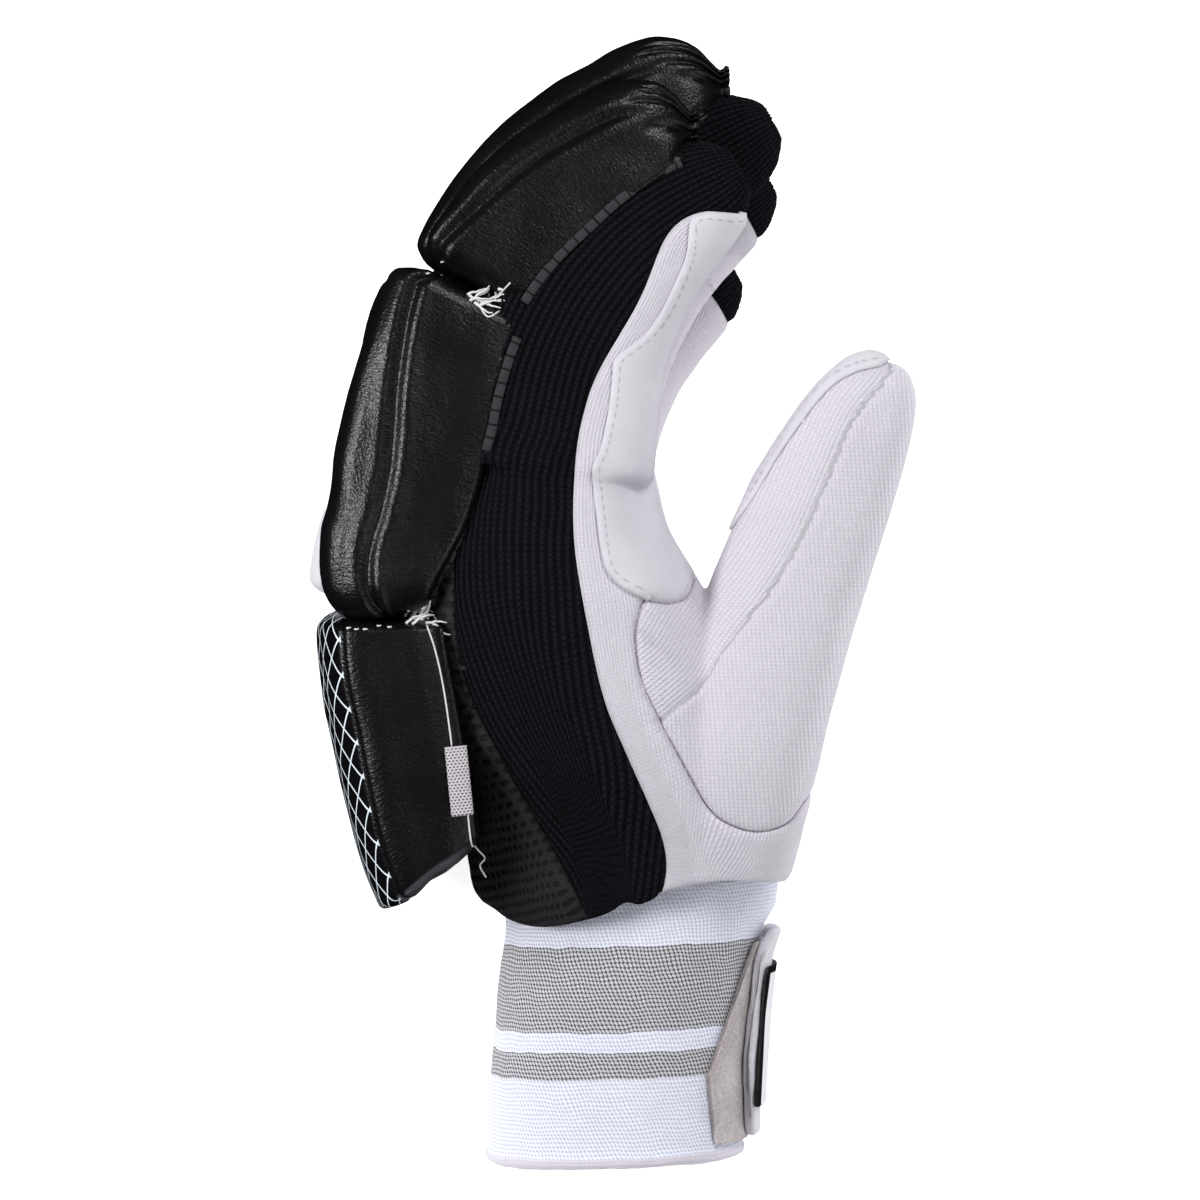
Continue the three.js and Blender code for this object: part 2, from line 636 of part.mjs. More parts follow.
// Materials
const material = (color, roughness) => new THREE.MeshStandardMaterial({ color, roughness, metalness: 0 });
const blackLeather = material('#1c1a1d', 0.42);
const blackKnit = material('#0b0e13', 0.95);
const blackMesh = material('#101013', 0.9);
const whiteCotton = material('#dcd8dd', 0.85);
const whiteLeather = material('#e6e4ea', 0.55);
const whiteElastic = material('#dfe0ea', 0.9);
const greyRibbon = material('#a7a5a6', 0.85);
const stripLoop = material('#cfc8ca', 0.95);

const model = new THREE.Group();
function addPiece(name, solid, finish) {
  const mesh = new THREE.Mesh(toGeometry(solid), finish);
  mesh.name = name;
  model.add(mesh);
}

// The shell and its panels
const shell = filledGlove(0).subtract(filledGlove(-WALL)).subtract(belowRim());
const seated = filledGlove(SEAT_GAP);
const halfGap = SEAM_GAP / 2;

addPiece('palm', shell.intersect(palmZone(halfGap)).subtract(thumbZone(-halfGap)), whiteCotton);
addPiece('thumb', shell.intersect(palmZone(halfGap)).intersect(thumbZone(halfGap)), whiteCotton);
addPiece('back_mesh', shell.subtract(palmZone(-halfGap)).intersect(meshZone(halfGap)), blackMesh);

const gussets = shell.subtract(palmZone(-halfGap)).subtract(meshZone(-halfGap));
for (const finger of FINGERS) {
  const slab = prism(EVERYWHERE, finger.low + halfGap, finger.high - halfGap);
  addPiece(`${finger.name}_knit`, gussets.intersect(slab), blackKnit);
}

// The rolls over each finger
const onFloor = above(0);
for (const [i, finger] of FINGERS.entries()) {
  const { knuckle, joint, dip } = FINGER_ROLLS[i];
  const line = backLine(finger);
  const tipRoll = padSolid({
    line,
    span: [joint + ROLL_BREAK, TIP_ROLL_END],
    rows: TIP_ROLL_ROWS,
    section: ROLL_SECTION,
    height: TIP_ROLL_HEIGHT,
    width: ROLL_WIDTH,
    z: finger.z,
  });
  const knuckleRoll = padSolid({
    line,
    span: [knuckle, joint - ROLL_BREAK],
    rows: KNUCKLE_ROLL_ROWS.map((row) => ({ ...row, lean: row.lean * dip })),
    section: ROLL_SECTION,
    height: KNUCKLE_ROLL_HEIGHT,
    width: ROLL_WIDTH,
    z: finger.z,
  });
  addPiece(`${finger.name}_tip_roll`, tipRoll.subtract(seated).intersect(onFloor), blackLeather);
  addPiece(`${finger.name}_knuckle_roll`, knuckleRoll.subtract(seated).intersect(onFloor), blackLeather);
}

// The pad on the back of the hand and the insert above it, on the middle finger's line
const backPad = (grow) =>
  padSolid({
    line: backLine(FINGERS[2]),
    span: BACK_PAD_SPAN,
    rows: BACK_PAD_ROWS,
    section: BACK_PAD_SECTION,
    height: BACK_PAD_HEIGHT + grow,
    width: BACK_PAD_WIDTH + 2 * grow,
    z: HAND_MIDDLE,
  });

// The index finger's roll reaches further down, into a notch in the pad
const notchFoot = padFoot(backLine(FINGERS[3]), FINGER_ROLLS[3].knuckle, KNUCKLE_ROLL_ROWS[0].lean);
const alongPad = new THREE.Vector3(notchFoot.outward.y, -notchFoot.outward.x, 0);
const notchStart = notchFoot.base.clone().addScaledVector(alongPad, -2 * SEAT_GAP);
const inner = notchStart.clone().addScaledVector(notchFoot.outward, -PALM_DEPTH / 2);
const outer = notchStart.clone().addScaledVector(notchFoot.outward, PALM_DEPTH);
const notchOutline = [[inner.x, inner.y], [outer.x, outer.y], [outer.x, FAR], [inner.x, FAR]];
const notch = prism(notchOutline, FINGERS[3].low, FAR);

// The folded ribbon in the side seam, lying on the pad's side
function turnedRectangle(x, y, width, height, degrees) {
  const turn = (degrees * Math.PI) / 180;
  return [[-1, -1], [1, -1], [1, 1], [-1, 1]].map(([i, j]) => {
    const corner = new THREE.Vector2((i * width) / 2, (j * height) / 2);
    corner.rotateAround(new THREE.Vector2(), turn);
    return [x + corner.x, y + corner.y];
  });
}
const labelRow = between(HAND_ROWS, 'at', LABEL_PLACE.at);
const labelX = labelRow.back * PALM_DEPTH + LABEL_REACH * LABEL_PLACE.inward;
const labelY = handY(LABEL_PLACE.at);
const labelOutline = turnedRectangle(labelX, labelY, LABEL_REACH, LABEL_LENGTH, LABEL_PLACE.turn);
const label = overlay(backPad, SEAT_GAP, LABEL_THICKNESS, labelOutline, HAND_MIDDLE);
addPiece('side_label', label.subtract(seated), greyRibbon);
addPiece('back_pad', backPad(0).subtract(notch).subtract(seated).intersect(onFloor), blackLeather);

const flash = padSolid({
  line: backLine(FINGERS[2]),
  span: FLASH_SPAN,
  rows: FLASH_ROWS,
  section: BACK_PAD_SECTION,
  height: FLASH_HEIGHT,
  width: FINGER_PITCH * 3 - 2 * SEAT_GAP,
  z: FINGERS[1].z,
});
addPiece('knuckle_flash', flash.subtract(seated).intersect(onFloor), whiteLeather);

// The leather patches
const handPoint = ({ across, at }) => [across * PALM_DEPTH, handY(at)];
const indexSide = FINGERS[3].low + SEAT_GAP;
const palmPatchOutline = PALM_PATCH_OUTLINE.map(handPoint);
const palmPatch = overlay(filledGlove, PATCH_GAP, PATCH_THICKNESS, palmPatchOutline, indexSide);
const facingOutline = FACING_OUTLINE.map(thumbPoint).map(({ x, y }) => [x, y]);
const facing = overlay(thumbSolid, PATCH_GAP, PATCH_THICKNESS, facingOutline, THUMB_ZONE * PALM_WIDTH);
addPiece('palm_patch', palmPatch.subtract(thumbSolid(PATCH_GAP * 2 + PATCH_THICKNESS)), whiteLeather);
addPiece('thumb_facing', facing, whiteLeather);

// The cuff, tucked into the shell, and its strap
const insideShell = filledGlove(-WALL - SEAT_GAP);
const tucked = cuffSolid(0).intersect(insideShell);
const loose = cuffSolid(0).intersect(belowRim(SEAT_GAP));
addPiece('cuff', tucked.add(loose).subtract(cuffSolid(-CUFF_WALL, 0)), whiteElastic);

const strapTop = cuffY(STRAP_PLACE);
function strapOutline(edge) {
  const outline = edge.map(({ across, up }) => [across * CUFF_DEPTH, strapTop - (1 - up) * STRAP_HEIGHT]);
  outline.push([FAR, outline.at(-1)[1]], [FAR, outline[0][1]]);
  return outline;
}
const cuffOutside = (grow) => cuffSolid(grow, 0);
const band = (clearance, thickness, edge) =>
  overlay(cuffOutside, clearance, thickness, strapOutline(edge), 0);
const tabClearance = 2 * SEAT_GAP + STRAP_BASE_THICKNESS;
const lowerHalf = prism(EVERYWHERE, -FAR, CUFF_LIFT + CUFF_WIDTH / 2);
const strapBase = band(SEAT_GAP, STRAP_BASE_THICKNESS, STRAP_BASE_EDGE);
const strapReturn = band(SEAT_GAP, STRAP_BASE_THICKNESS, STRAP_RETURN_EDGE).intersect(lowerHalf);
addPiece('strap_base', strapBase.add(strapReturn), stripLoop);
addPiece('strap_tab', band(tabClearance, STRAP_TAB_THICKNESS, STRAP_TAB_EDGE), stripLoop);

const patchClearance = tabClearance + STRAP_TAB_THICKNESS + SEAT_GAP;
const patchY = strapTop - STRAP_HEIGHT / 2;
const patchOutline = turnedRectangle(CUFF_DEPTH, patchY, CUFF_DEPTH * 2, STRAP_PATCH_HEIGHT, 0);
const patchLow = CUFF_LIFT + (CUFF_WIDTH - STRAP_PATCH_WIDTH) / 2;
const patchHigh = patchLow + STRAP_PATCH_WIDTH;
const patch = overlay(cuffOutside, patchClearance, STRAP_PATCH_THICKNESS, patchOutline, patchLow, patchHigh);
addPiece('strap_patch', patch, whiteLeather);

// The origin is the resting point, on the floor
model.position.x = REST_BACK;
model.updateMatrixWorld(true);
export default model;
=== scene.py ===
import json
import math
import random

import bpy
import numpy as np
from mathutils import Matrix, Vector, kdtree, noise

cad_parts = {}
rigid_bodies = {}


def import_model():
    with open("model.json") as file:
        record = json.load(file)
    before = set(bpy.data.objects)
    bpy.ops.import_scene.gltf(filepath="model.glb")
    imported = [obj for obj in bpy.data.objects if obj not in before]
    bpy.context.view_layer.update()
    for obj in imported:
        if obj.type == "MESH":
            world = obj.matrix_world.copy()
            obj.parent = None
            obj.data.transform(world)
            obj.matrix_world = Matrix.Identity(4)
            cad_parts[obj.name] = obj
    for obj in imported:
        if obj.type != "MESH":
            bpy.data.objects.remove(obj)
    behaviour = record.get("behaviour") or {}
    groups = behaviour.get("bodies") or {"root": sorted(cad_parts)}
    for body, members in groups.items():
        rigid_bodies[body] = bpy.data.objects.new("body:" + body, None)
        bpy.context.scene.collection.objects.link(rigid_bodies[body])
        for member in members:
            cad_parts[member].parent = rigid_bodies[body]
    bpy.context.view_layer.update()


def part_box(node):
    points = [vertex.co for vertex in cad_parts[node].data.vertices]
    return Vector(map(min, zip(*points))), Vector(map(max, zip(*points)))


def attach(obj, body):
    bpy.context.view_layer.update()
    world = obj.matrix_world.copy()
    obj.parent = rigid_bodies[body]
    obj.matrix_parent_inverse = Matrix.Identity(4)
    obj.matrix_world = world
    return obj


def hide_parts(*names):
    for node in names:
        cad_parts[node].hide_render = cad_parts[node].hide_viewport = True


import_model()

# The studio: a white table under soft light, seen from straight above, the way the glove was laid out.
# The table and its lights aren't part of the glove.
MM = 0.001
CAMERA_HEIGHT = 1290
FIELD = 288  # mm of the table that the picture covers, at the height of the index finger


def linear(code):
    """A hex colour as a linear one"""
    parts = [int(code[i:i + 2], 16) / 255 for i in (1, 3, 5)]
    return tuple(c / 12.92 if c <= 0.04045 else ((c + 0.055) / 1.055) ** 2.4 for c in parts) + (1,)


def node(material, kind, inputs, **settings):
    """A new shader node with its settings, and its inputs by name or number. An input is a value, a
    socket, or a node, whose first output is then linked."""
    made = material.node_tree.nodes.new("ShaderNode" + kind)
    for name, value in settings.items():
        setattr(made, name, value)
    for name, value in inputs.items():
        if isinstance(value, bpy.types.Node):
            value = value.outputs[0]
        if isinstance(value, bpy.types.NodeSocket):
            material.node_tree.links.new(value, made.inputs[name])
        else:
            made.inputs[name].default_value = value
    return made


def new_material(name):
    """A material with its surface shader, ready for more nodes"""
    material = bpy.data.materials.new(name)
    material.use_nodes = True
    return material, material.node_tree.nodes["Principled BSDF"]


def dress(material, shader, colour, height, strength, depth, roughness=None, specular=None):
    """Gives a surface its colour, relief up to depth in mm, roughness and specular level"""
    links = material.node_tree.links
    links.new(colour, shader.inputs["Base Color"])
    bump = node(material, "Bump", {"Height": height, "Strength": strength, "Distance": depth * MM})
    links.new(bump.outputs[0], shader.inputs["Normal"])
    if roughness is not None:
        shader.inputs["Roughness"].default_value = roughness
    if specular is not None:
        shader.inputs["Specular IOR Level"].default_value = specular


def pick(*pieces):
    """Selects some pieces and no others, the first of them active"""
    bpy.ops.object.select_all(action="DESELECT")
    for piece in pieces:
        piece.select_set(True)
    bpy.context.view_layer.objects.active = pieces[0]


def joined(name, pieces):
    """Some pieces made into one"""
    pick(*pieces)
    bpy.ops.object.join()
    whole = bpy.context.object
    whole.name = name
    return whole


bpy.ops.mesh.primitive_plane_add(size=6)
table = bpy.context.object
table.name = "table"
table_paint, shader = new_material("white_table_paint")
# Matt white paint, bright enough to fade into the background
shader.inputs["Base Color"].default_value = linear("#ffffff")
shader.inputs["Roughness"].default_value = 0.9
shader.inputs["Emission Color"].default_value = linear("#ffffff")
shader.inputs["Emission Strength"].default_value = 0.75
table.data.materials.append(table_paint)
table.visible_glossy = False

world = bpy.data.worlds.new("soft_room")
bpy.context.scene.world = world
world.use_nodes = True
world.node_tree.nodes["Background"].inputs["Color"].default_value = linear("#f4f6fb")
world.node_tree.nodes["Background"].inputs["Strength"].default_value = 0.38
world.cycles_visibility.glossy = False
bpy.context.scene.view_settings.view_transform = "Standard"

for place, aim, size, power in [
    ((-0.95, 0.15, 0.85), (0.0, 0.0, 0.05), 0.45, 11.0),
    ((0.5, 0.85, 0.9), (0.02, 0.0, 0.05), 0.4, 7.0),
    ((0.5, 0.1, 1.8), (0.0, 0.0, 0.05), 0.4, 1.5),
    ((0.9, -0.5, 0.7), (0.0, 0.0, 0.05), 0.7, 2.5),
]:
    bpy.ops.object.light_add(type="AREA", location=place)
    lamp = bpy.context.object
    lamp.data.size = size
    lamp.data.energy = power
    lamp.rotation_euler = (Vector(aim) - Vector(place)).to_track_quat("-Z", "Y").to_euler()

bpy.ops.object.camera_add(location=(18.2 * MM, 0.6 * MM, CAMERA_HEIGHT * MM), rotation=(0, 0, 0))
camera = bpy.context.object
camera.data.sensor_width = 36
camera.data.lens = 36 * (CAMERA_HEIGHT - 90) / FIELD
camera.data.clip_start = 0.05
bpy.context.scene.camera = camera

# The skin: one sewn bag of knit, mesh, cotton and leather round the hand, four fingers and the thumb.
# Its whole form is made first, and then parted along the sewn seams into its panels.
WRIST_X = 20  # the wrist's line, from the resting point
PALM_LENGTH, PALM_DEPTH, PALM_WIDTH = 122, 76, 97
PALM_BOTTOM = -0.64 * PALM_LENGTH
WRIST_LOW = -1.2
FINGER_DEPTH, FINGER_WIDTH, FINGER_PITCH = 46, 24.6, 24.2
THUMB_LENGTH, THUMB_BREADTH, THUMB_DEPTH = 141, 37, 44
THUMB_ZONE = 0.45 * PALM_WIDTH
SEAM_TOP = 0.89
SKIN_GRAIN = 1.15  # mm, the mesh of the whole form


def columns(names, rows):
    return dict(zip(names.split(), np.array(rows, float).T))


HAND = columns("at back front high seam mesh power corner", [
    (-0.12, -0.37, 0.575, 0.79, 0.5, 0.42, 2.2, 2.2),
    (0, -0.38, 0.575, 0.79, 0.53, 0.39, 2.2, 2.2),
    (0.06, -0.452, 0.59, 0.81, 0.6, 0.35, 2.3, 2.3),
    (0.13, -0.455, 0.595, 0.835, 0.61, 0.29, 2.4, 2.8),
    (0.27, -0.49, 0.6, 0.905, 0.56, 0.19, 2.5, 4),
    (0.4, -0.525, 0.53, 0.95, 0.53, 0.11, 2.6, 5),
    (0.56, -0.57, 0.4, 0.985, 0.535, 0.01, 2.7, 5),
    (0.68, -0.575, 0.3, 1, 0.557, -0.1, 2.8, 5),
    (0.8, -0.52, 0.19, 1, 0.57, -0.1, 2.8, 5),
    (0.92, -0.455, 0.14, 0.99, 0.6, -0.1, 2.6, 4),
    (1, -0.36, 0.06, 0.93, 0.6, -0.1, 2.4, 3),
])
FINGER = columns("at depth width seam corner", [
    (0, 1.03, 1, 0.28, 5),
    (0.2, 1, 0.975, 0.35, 5),
    (0.4, 0.94, 0.95, 0.42, 5),
    (0.58, 0.84, 0.93, 0.42, 5),
    (0.75, 0.71, 0.89, 0.3, 4),
    (0.87, 0.59, 0.81, 0.1, 3.2),
    (0.95, 0.44, 0.66, 0, 2.6),
    (1, 0.22, 0.36, 0, 2.4),
])
THUMB = columns("at breadth depth lift", [
    (0, 0.8, 0.8, 0.52),
    (0.14, 0.93, 0.95, 0.62),
    (0.28, 0.99, 1, 0.69),
    (0.42, 1, 0.93, 0.72),
    (0.56, 0.98, 0.83, 0.735),
    (0.7, 0.92, 0.73, 0.75),
    (0.82, 0.82, 0.62, 0.765),
    (0.91, 0.68, 0.5, 0.775),
    (0.97, 0.5, 0.36, 0.78),
    (1, 0.28, 0.2, 0.78),
])


def eased(table, shares):
    """Values between a table's rows, on smooth curves that never pass beyond a row"""
    knots = table["at"]
    step = np.diff(knots)
    i = np.clip(np.searchsorted(knots, shares, side="right") - 1, 0, len(knots) - 2)
    t = (shares - knots[i]) / step[i]
    found = {}
    for name, values in table.items():
        rise = np.diff(values) / step
        slope = np.zeros(len(knots))
        agree = rise[1:] * rise[:-1] > 0
        slope[1:-1][agree] = 2 * rise[1:][agree] * rise[:-1][agree] / (rise[1:] + rise[:-1])[agree]
        slope[0], slope[-1] = rise[0], rise[-1]
        found[name] = (
            (2 * t**3 - 3 * t**2 + 1) * values[i]
            + (t**3 - 2 * t**2 + t) * step[i] * slope[i]
            + (3 * t**2 - 2 * t**3) * values[i + 1]
            + (t**3 - t**2) * step[i] * slope[i + 1]
        )
    return found


def bent_path(x, y, heading, curl, length):
    """The middle line of a finger: gives x, y and heading at shares of its length"""
    ticks = np.linspace(0, 1, 241)
    turn = np.radians(heading + curl * ticks**2 * (3 - 2 * ticks))
    middle = (turn[1:] + turn[:-1]) / 2
    xs = x + np.concatenate([[0], np.cumsum(np.sin(middle))]) * length / 240
    ys = y + np.concatenate([[0], np.cumsum(np.cos(middle))]) * length / 240

    def at(share):
        angle = np.interp(share, ticks, turn)
        past = np.maximum(share - 1, 0) * length
        return (
            np.interp(share, ticks, xs) + np.sin(angle) * past,
            np.interp(share, ticks, ys) + np.cos(angle) * past,
            angle,
        )

    return at


def to_power(value, power):
    """A power that keeps its value's sign"""
    return np.sign(value) * np.abs(value) ** power


def ring(centre, across, up, power, corner, sides):
    """A rounded ring, squarer towards its back than towards its front"""
    angle = 2 * np.pi * (np.arange(sides) + 0.5) / sides
    shape = 2 / np.where(np.cos(angle) < 0, corner, power)
    c, s = to_power(np.cos(angle), shape), to_power(np.sin(angle), shape)
    return np.array(centre) + c[:, None] * np.array(across) + s[:, None] * np.array(up)


def rolled(name, rings):
    """A grid rolled into a tube through rings of points in mm, with its poles and its seam closed.
    Its map holds real lengths in metres: first round the tube, then along it."""
    rings = np.array(rings)
    rows, sides = rings.shape[:2]
    bpy.ops.object.select_all(action="DESELECT")
    bpy.ops.mesh.primitive_grid_add(x_subdivisions=sides, y_subdivisions=rows - 1, size=0.01)
    piece = bpy.context.object
    piece.name = name
    piece.data.name = name
    points = np.concatenate([rings, rings[:, :1]], axis=1)
    piece.data.vertices.foreach_set("co", (points * MM).ravel())
    turn = np.linalg.norm(np.diff(points, axis=1), axis=2)
    across = np.concatenate([np.zeros((rows, 1)), np.cumsum(turn, axis=1)], axis=1)
    widest = across[np.argmax(across[:, -1])]
    across = np.broadcast_to(widest - widest[-1] / 2, across.shape)
    along = np.linalg.norm(np.diff(points, axis=0), axis=2).mean(axis=1)
    along = np.broadcast_to(np.concatenate([[0], np.cumsum(along)])[:, None], across.shape)
    corners = np.zeros(len(piece.data.loops), int)
    piece.data.loops.foreach_get("vertex_index", corners)
    chart = np.stack([across.ravel(), along.ravel()], axis=1)[corners] * MM
    piece.data.uv_layers[0].name = "weave"
    piece.data.uv_layers[0].data.foreach_set("uv", chart.ravel())
    bpy.ops.object.mode_set(mode="EDIT")
    bpy.ops.mesh.select_all(action="SELECT")
    bpy.ops.mesh.remove_doubles(threshold=1e-7)
    bpy.ops.mesh.normals_make_consistent(inside=False)
    bpy.ops.object.mode_set(mode="OBJECT")
    return piece


def closed(rings):
    """The same rings with a pole at each end"""
    ends = [np.broadcast_to(r.mean(axis=0), r.shape) for r in (rings[0], rings[-1])]
    return [ends[0], *rings, ends[1]]


def finish_with(piece, kind, **settings):
    """Adds a modifier and applies it"""
    pick(piece)
    modifier = piece.modifiers.new(kind.lower(), kind)
    for name, value in settings.items():
        setattr(modifier, name, value)
    bpy.ops.object.modifier_apply(modifier=modifier.name)


fingers = []
for i, (name, root_x, root_y, heading, curl, length, thickness) in enumerate([
    ("little", -0.16, 0.83, 10, 52, 80, 0.9),
    ("ring", -0.175, 0.9, 9, 54, 97, 0.97),
    ("middle", -0.19, 0.94, 7, 54, 104, 1),
    ("index", -0.18, 0.9, 5, 54, 91, 1),
]):
    z = WRIST_LOW + FINGER_WIDTH / 2 + i * FINGER_PITCH
    y = PALM_BOTTOM + root_y * PALM_LENGTH
    path = bent_path(WRIST_X + root_x * PALM_DEPTH, y, heading, curl, length)
    fingers.append({"name": name, "z": z, "root": root_y, "thick": thickness, "path": path})
thumb_path = bent_path(WRIST_X + 0.363 * PALM_DEPTH, PALM_BOTTOM + 0.02 * PALM_LENGTH, 7, 20, THUMB_LENGTH)

shares = np.linspace(-0.12, 1, 76)
row = eased(HAND, shares)
rings = []
for i, share in enumerate(shares):
    back, front = row["back"][i] * PALM_DEPTH, row["front"][i] * PALM_DEPTH
    high = row["high"][i] * PALM_WIDTH + WRIST_LOW
    centre = (WRIST_X + (back + front) / 2, PALM_BOTTOM + share * PALM_LENGTH, (WRIST_LOW + high) / 2)
    up = (0, 0, (high - WRIST_LOW) / 2)
    rings.append(ring(centre, ((front - back) / 2, 0, 0), up, row["power"][i], row["corner"][i], 96))
forms = [rolled("hand_form", closed(rings))]

shares = np.concatenate([np.linspace(0, 0.94, 40), np.linspace(0.95, 1, 8)])
row = eased(FINGER, shares)
for finger in fingers:
    x, y, angle = finger["path"](shares)
    rings = []
    for i in range(len(shares)):
        half = row["depth"][i] * FINGER_DEPTH * finger["thick"] / 2
        across = (math.cos(angle[i]) * half, -math.sin(angle[i]) * half, 0)
        up = (0, 0, row["width"][i] * FINGER_WIDTH / 2)
        rings.append(ring((x[i], y[i], finger["z"]), across, up, 2.5, row["corner"][i], 64))
    forms.append(rolled(finger["name"] + "_form", closed(rings)))

shares = np.concatenate([np.linspace(0, 0.94, 50), np.linspace(0.95, 1, 8)])
row = eased(THUMB, shares)
x, y, angle = thumb_path(shares)
rings = []
for i in range(len(shares)):
    half = row["breadth"][i] * THUMB_BREADTH / 2
    across = (math.cos(angle[i]) * half, -math.sin(angle[i]) * half, 0)
    up = (0, 0, row["depth"][i] * THUMB_DEPTH / 2)
    rings.append(ring((x[i], y[i], row["lift"][i] * PALM_WIDTH), across, up, 2.4, 2.4, 64))
forms.append(rolled("thumb_form", closed(rings)))

skin = joined("skin", forms)
finish_with(skin, "REMESH", mode="VOXEL", voxel_size=SKIN_GRAIN * MM)
finish_with(skin, "SMOOTH", factor=0.5, iterations=6)


def points_of(piece):
    found = np.zeros(len(piece.data.vertices) * 3)
    piece.data.vertices.foreach_get("co", found)
    return found.reshape(-1, 3) / MM


def move_points(piece, points):
    piece.data.vertices.foreach_set("co", (points * MM).ravel())
    piece.data.update()


def normals_of(piece):
    found = np.zeros(len(piece.data.vertices) * 3, np.float32)
    piece.data.vertex_normals.foreach_get("vector", found)
    return found.reshape(-1, 3).astype(float)


def flowing(points, parts=6):
    """A smooth line through points"""
    p = np.array(points, float)
    p = np.concatenate([[2 * p[0] - p[1]], p, [2 * p[-1] - p[-2]]])
    t = np.linspace(0, 1, parts, endpoint=False)[:, None]
    line = [
        0.5 * (2 * b + (c - a) * t + (2 * a - 5 * b + 4 * c - d) * t**2 + (3 * b - a - 3 * c + d) * t**3)
        for a, b, c, d in zip(p, p[1:], p[2:], p[3:])
    ]
    return np.concatenate([*line, p[-2:-1]])


def inside(points, outline):
    """How far inside a closed outline each point lies, in mm, and less than nothing outside it"""
    x, y = points[:, 0], points[:, 1]
    nearest = np.full(len(points), 1e9)
    within = np.zeros(len(points), bool)
    for (ax, ay), (bx, by) in zip(outline, np.roll(outline, -1, axis=0)):
        ex, ey = bx - ax, by - ay
        t = np.clip(((x - ax) * ex + (y - ay) * ey) / (ex * ex + ey * ey + 1e-12), 0, 1)
        nearest = np.minimum(nearest, np.hypot(x - ax - t * ex, y - ay - t * ey))
        if ay != by:
            within ^= ((ay > y) != (by > y)) & (x < ax + (y - ay) * ex / ey)
    return np.where(within, nearest, -nearest)


FAR = 400  # mm, beyond every piece
# The seams of the panels on the side of the index finger, from the wrist up
INDEX_SEAM = [
    (32.4, -74.3), (34.3, -65.2), (33.3, -57.2), (29.5, -47.6), (24.4, -36.1), (19.2, -23.2), (15.3, -5.9),
    (12, 15), (12.4, 34.2), (14.6, 46.2), (18.2, 55.8), (27.8, 72.6), (33.8, 87), (39.8, 92.5), (47, 93.5),
    (54.2, 92.8), (60.2, 90.8),
]
THUMB_SEAM = [
    (71, -45), (67.6, -49.6), (63.8, -53.9), (56.6, -55.8), (49.4, -53.9), (44.1, -49.6), (37.9, -38.8),
    (31.6, -26.5), (27.8, -17.6), (26.4, -7.8), (28, 0.1),
]
MESH_SEAM = [
    (-17.3, 10.2), (-16.6, -9), (-13, -23.4), (-5.8, -37.8), (5, -57), (16.3, -78.6),
]
RIM = [
    (-34.6, -47.4), (-17.3, -59.4), (-14.4, -66.6), (-13.5, -70.7), (-10.6, -75), (-3.9, -78.6),
    (5.7, -79.3), (18.7, -76.2), (24.4, -73.1), (27.8, -73.6), (31.4, -72.1), (34.3, -70), (47, -68),
    (62.6, -68.5), (66.7, -67.6), (90.2, -66.6),
]


def palm_outline(finger):
    """The palm's side of the seam along one finger"""
    if finger["name"] == "index":
        seam = flowing(INDEX_SEAM)
    else:
        wrist = HAND["at"] < finger["root"] - 0.08
        across = HAND["back"] + HAND["seam"] * (HAND["front"] - HAND["back"])
        seam = [
            (WRIST_X + a * PALM_DEPTH, PALM_BOTTOM + at * PALM_LENGTH)
            for a, at in zip(across[wrist], HAND["at"][wrist])
        ]
        shares = (SEAM_TOP - (0.1 if finger["name"] == "middle" else 0)) * np.linspace(0, 1, 8)
        row = eased(FINGER, shares)
        x, y, angle = finger["path"](shares)
        half = row["seam"] * row["depth"] * FINGER_DEPTH * finger["thick"] / 2
        seam += list(zip(x + np.cos(angle) * half, y - np.sin(angle) * half))
        end = (x[-1] + math.cos(angle[-1]) * FINGER_DEPTH, y[-1] - math.sin(angle[-1]) * FINGER_DEPTH)
        seam = flowing([*seam, end])
    return [*seam, (FAR, seam[-1][1]), (FAR, -FAR), (seam[0][0], -FAR)]


palm_outlines = [palm_outline(finger) for finger in fingers]
thumb_outline = [
    *flowing(THUMB_SEAM), (29.7, 1.3), (34.3, 0.6), (39.8, 2), (42, 5.9), (42.9, 11.2), (43.2, 24.6),
    (53, 48.6), (66.2, 65.4), (90.2, 68.3), (138.2, 68.3), (138.2, -45),
]
mesh_outline = [*flowing(MESH_SEAM), (18.2, -95.4), (-125.8, -95.4), (-125.8, 10.2)]
rim_outline = [*flowing(RIM), (234.2, -66.6), (234.2, 264.6), (-245.8, 264.6), (-245.8, -47.4)]
SLAB_TOPS = [finger["z"] + FINGER_PITCH / 2 for finger in fingers[:3]]


def slab_of(points):
    return np.searchsorted(SLAB_TOPS, points[:, 2])


def palm_depth(points, slab):
    """How far on the palm's side of its finger's seam each point lies"""
    depth = np.zeros(len(points))
    for i, outline in enumerate(palm_outlines):
        depth[slab == i] = inside(points[slab == i], outline)
    return depth


def thumb_depth(points):
    return np.minimum(inside(points, thumb_outline), points[:, 2] - THUMB_ZONE)


PANELS = ["cut_off", "palm", "thumb", "back_mesh"] + [f["name"] + "_knit" for f in fingers]
points = points_of(skin)
points[:, 2] = np.maximum(points[:, 2], 0)
move_points(skin, points)
corners = np.zeros(len(skin.data.loops), int)
skin.data.loops.foreach_get("vertex_index", corners)
quads = corners.reshape(-1, 4)
middles = points[quads].mean(axis=1)
slab = slab_of(middles)
on_palm = palm_depth(middles, slab) > 0
label = np.where(
    on_palm,
    np.where(thumb_depth(middles) > 0, 2, 1),
    np.where(inside(middles, mesh_outline) > 0, 3, 4 + slab),
)
label[inside(middles, rim_outline) < 0] = 0

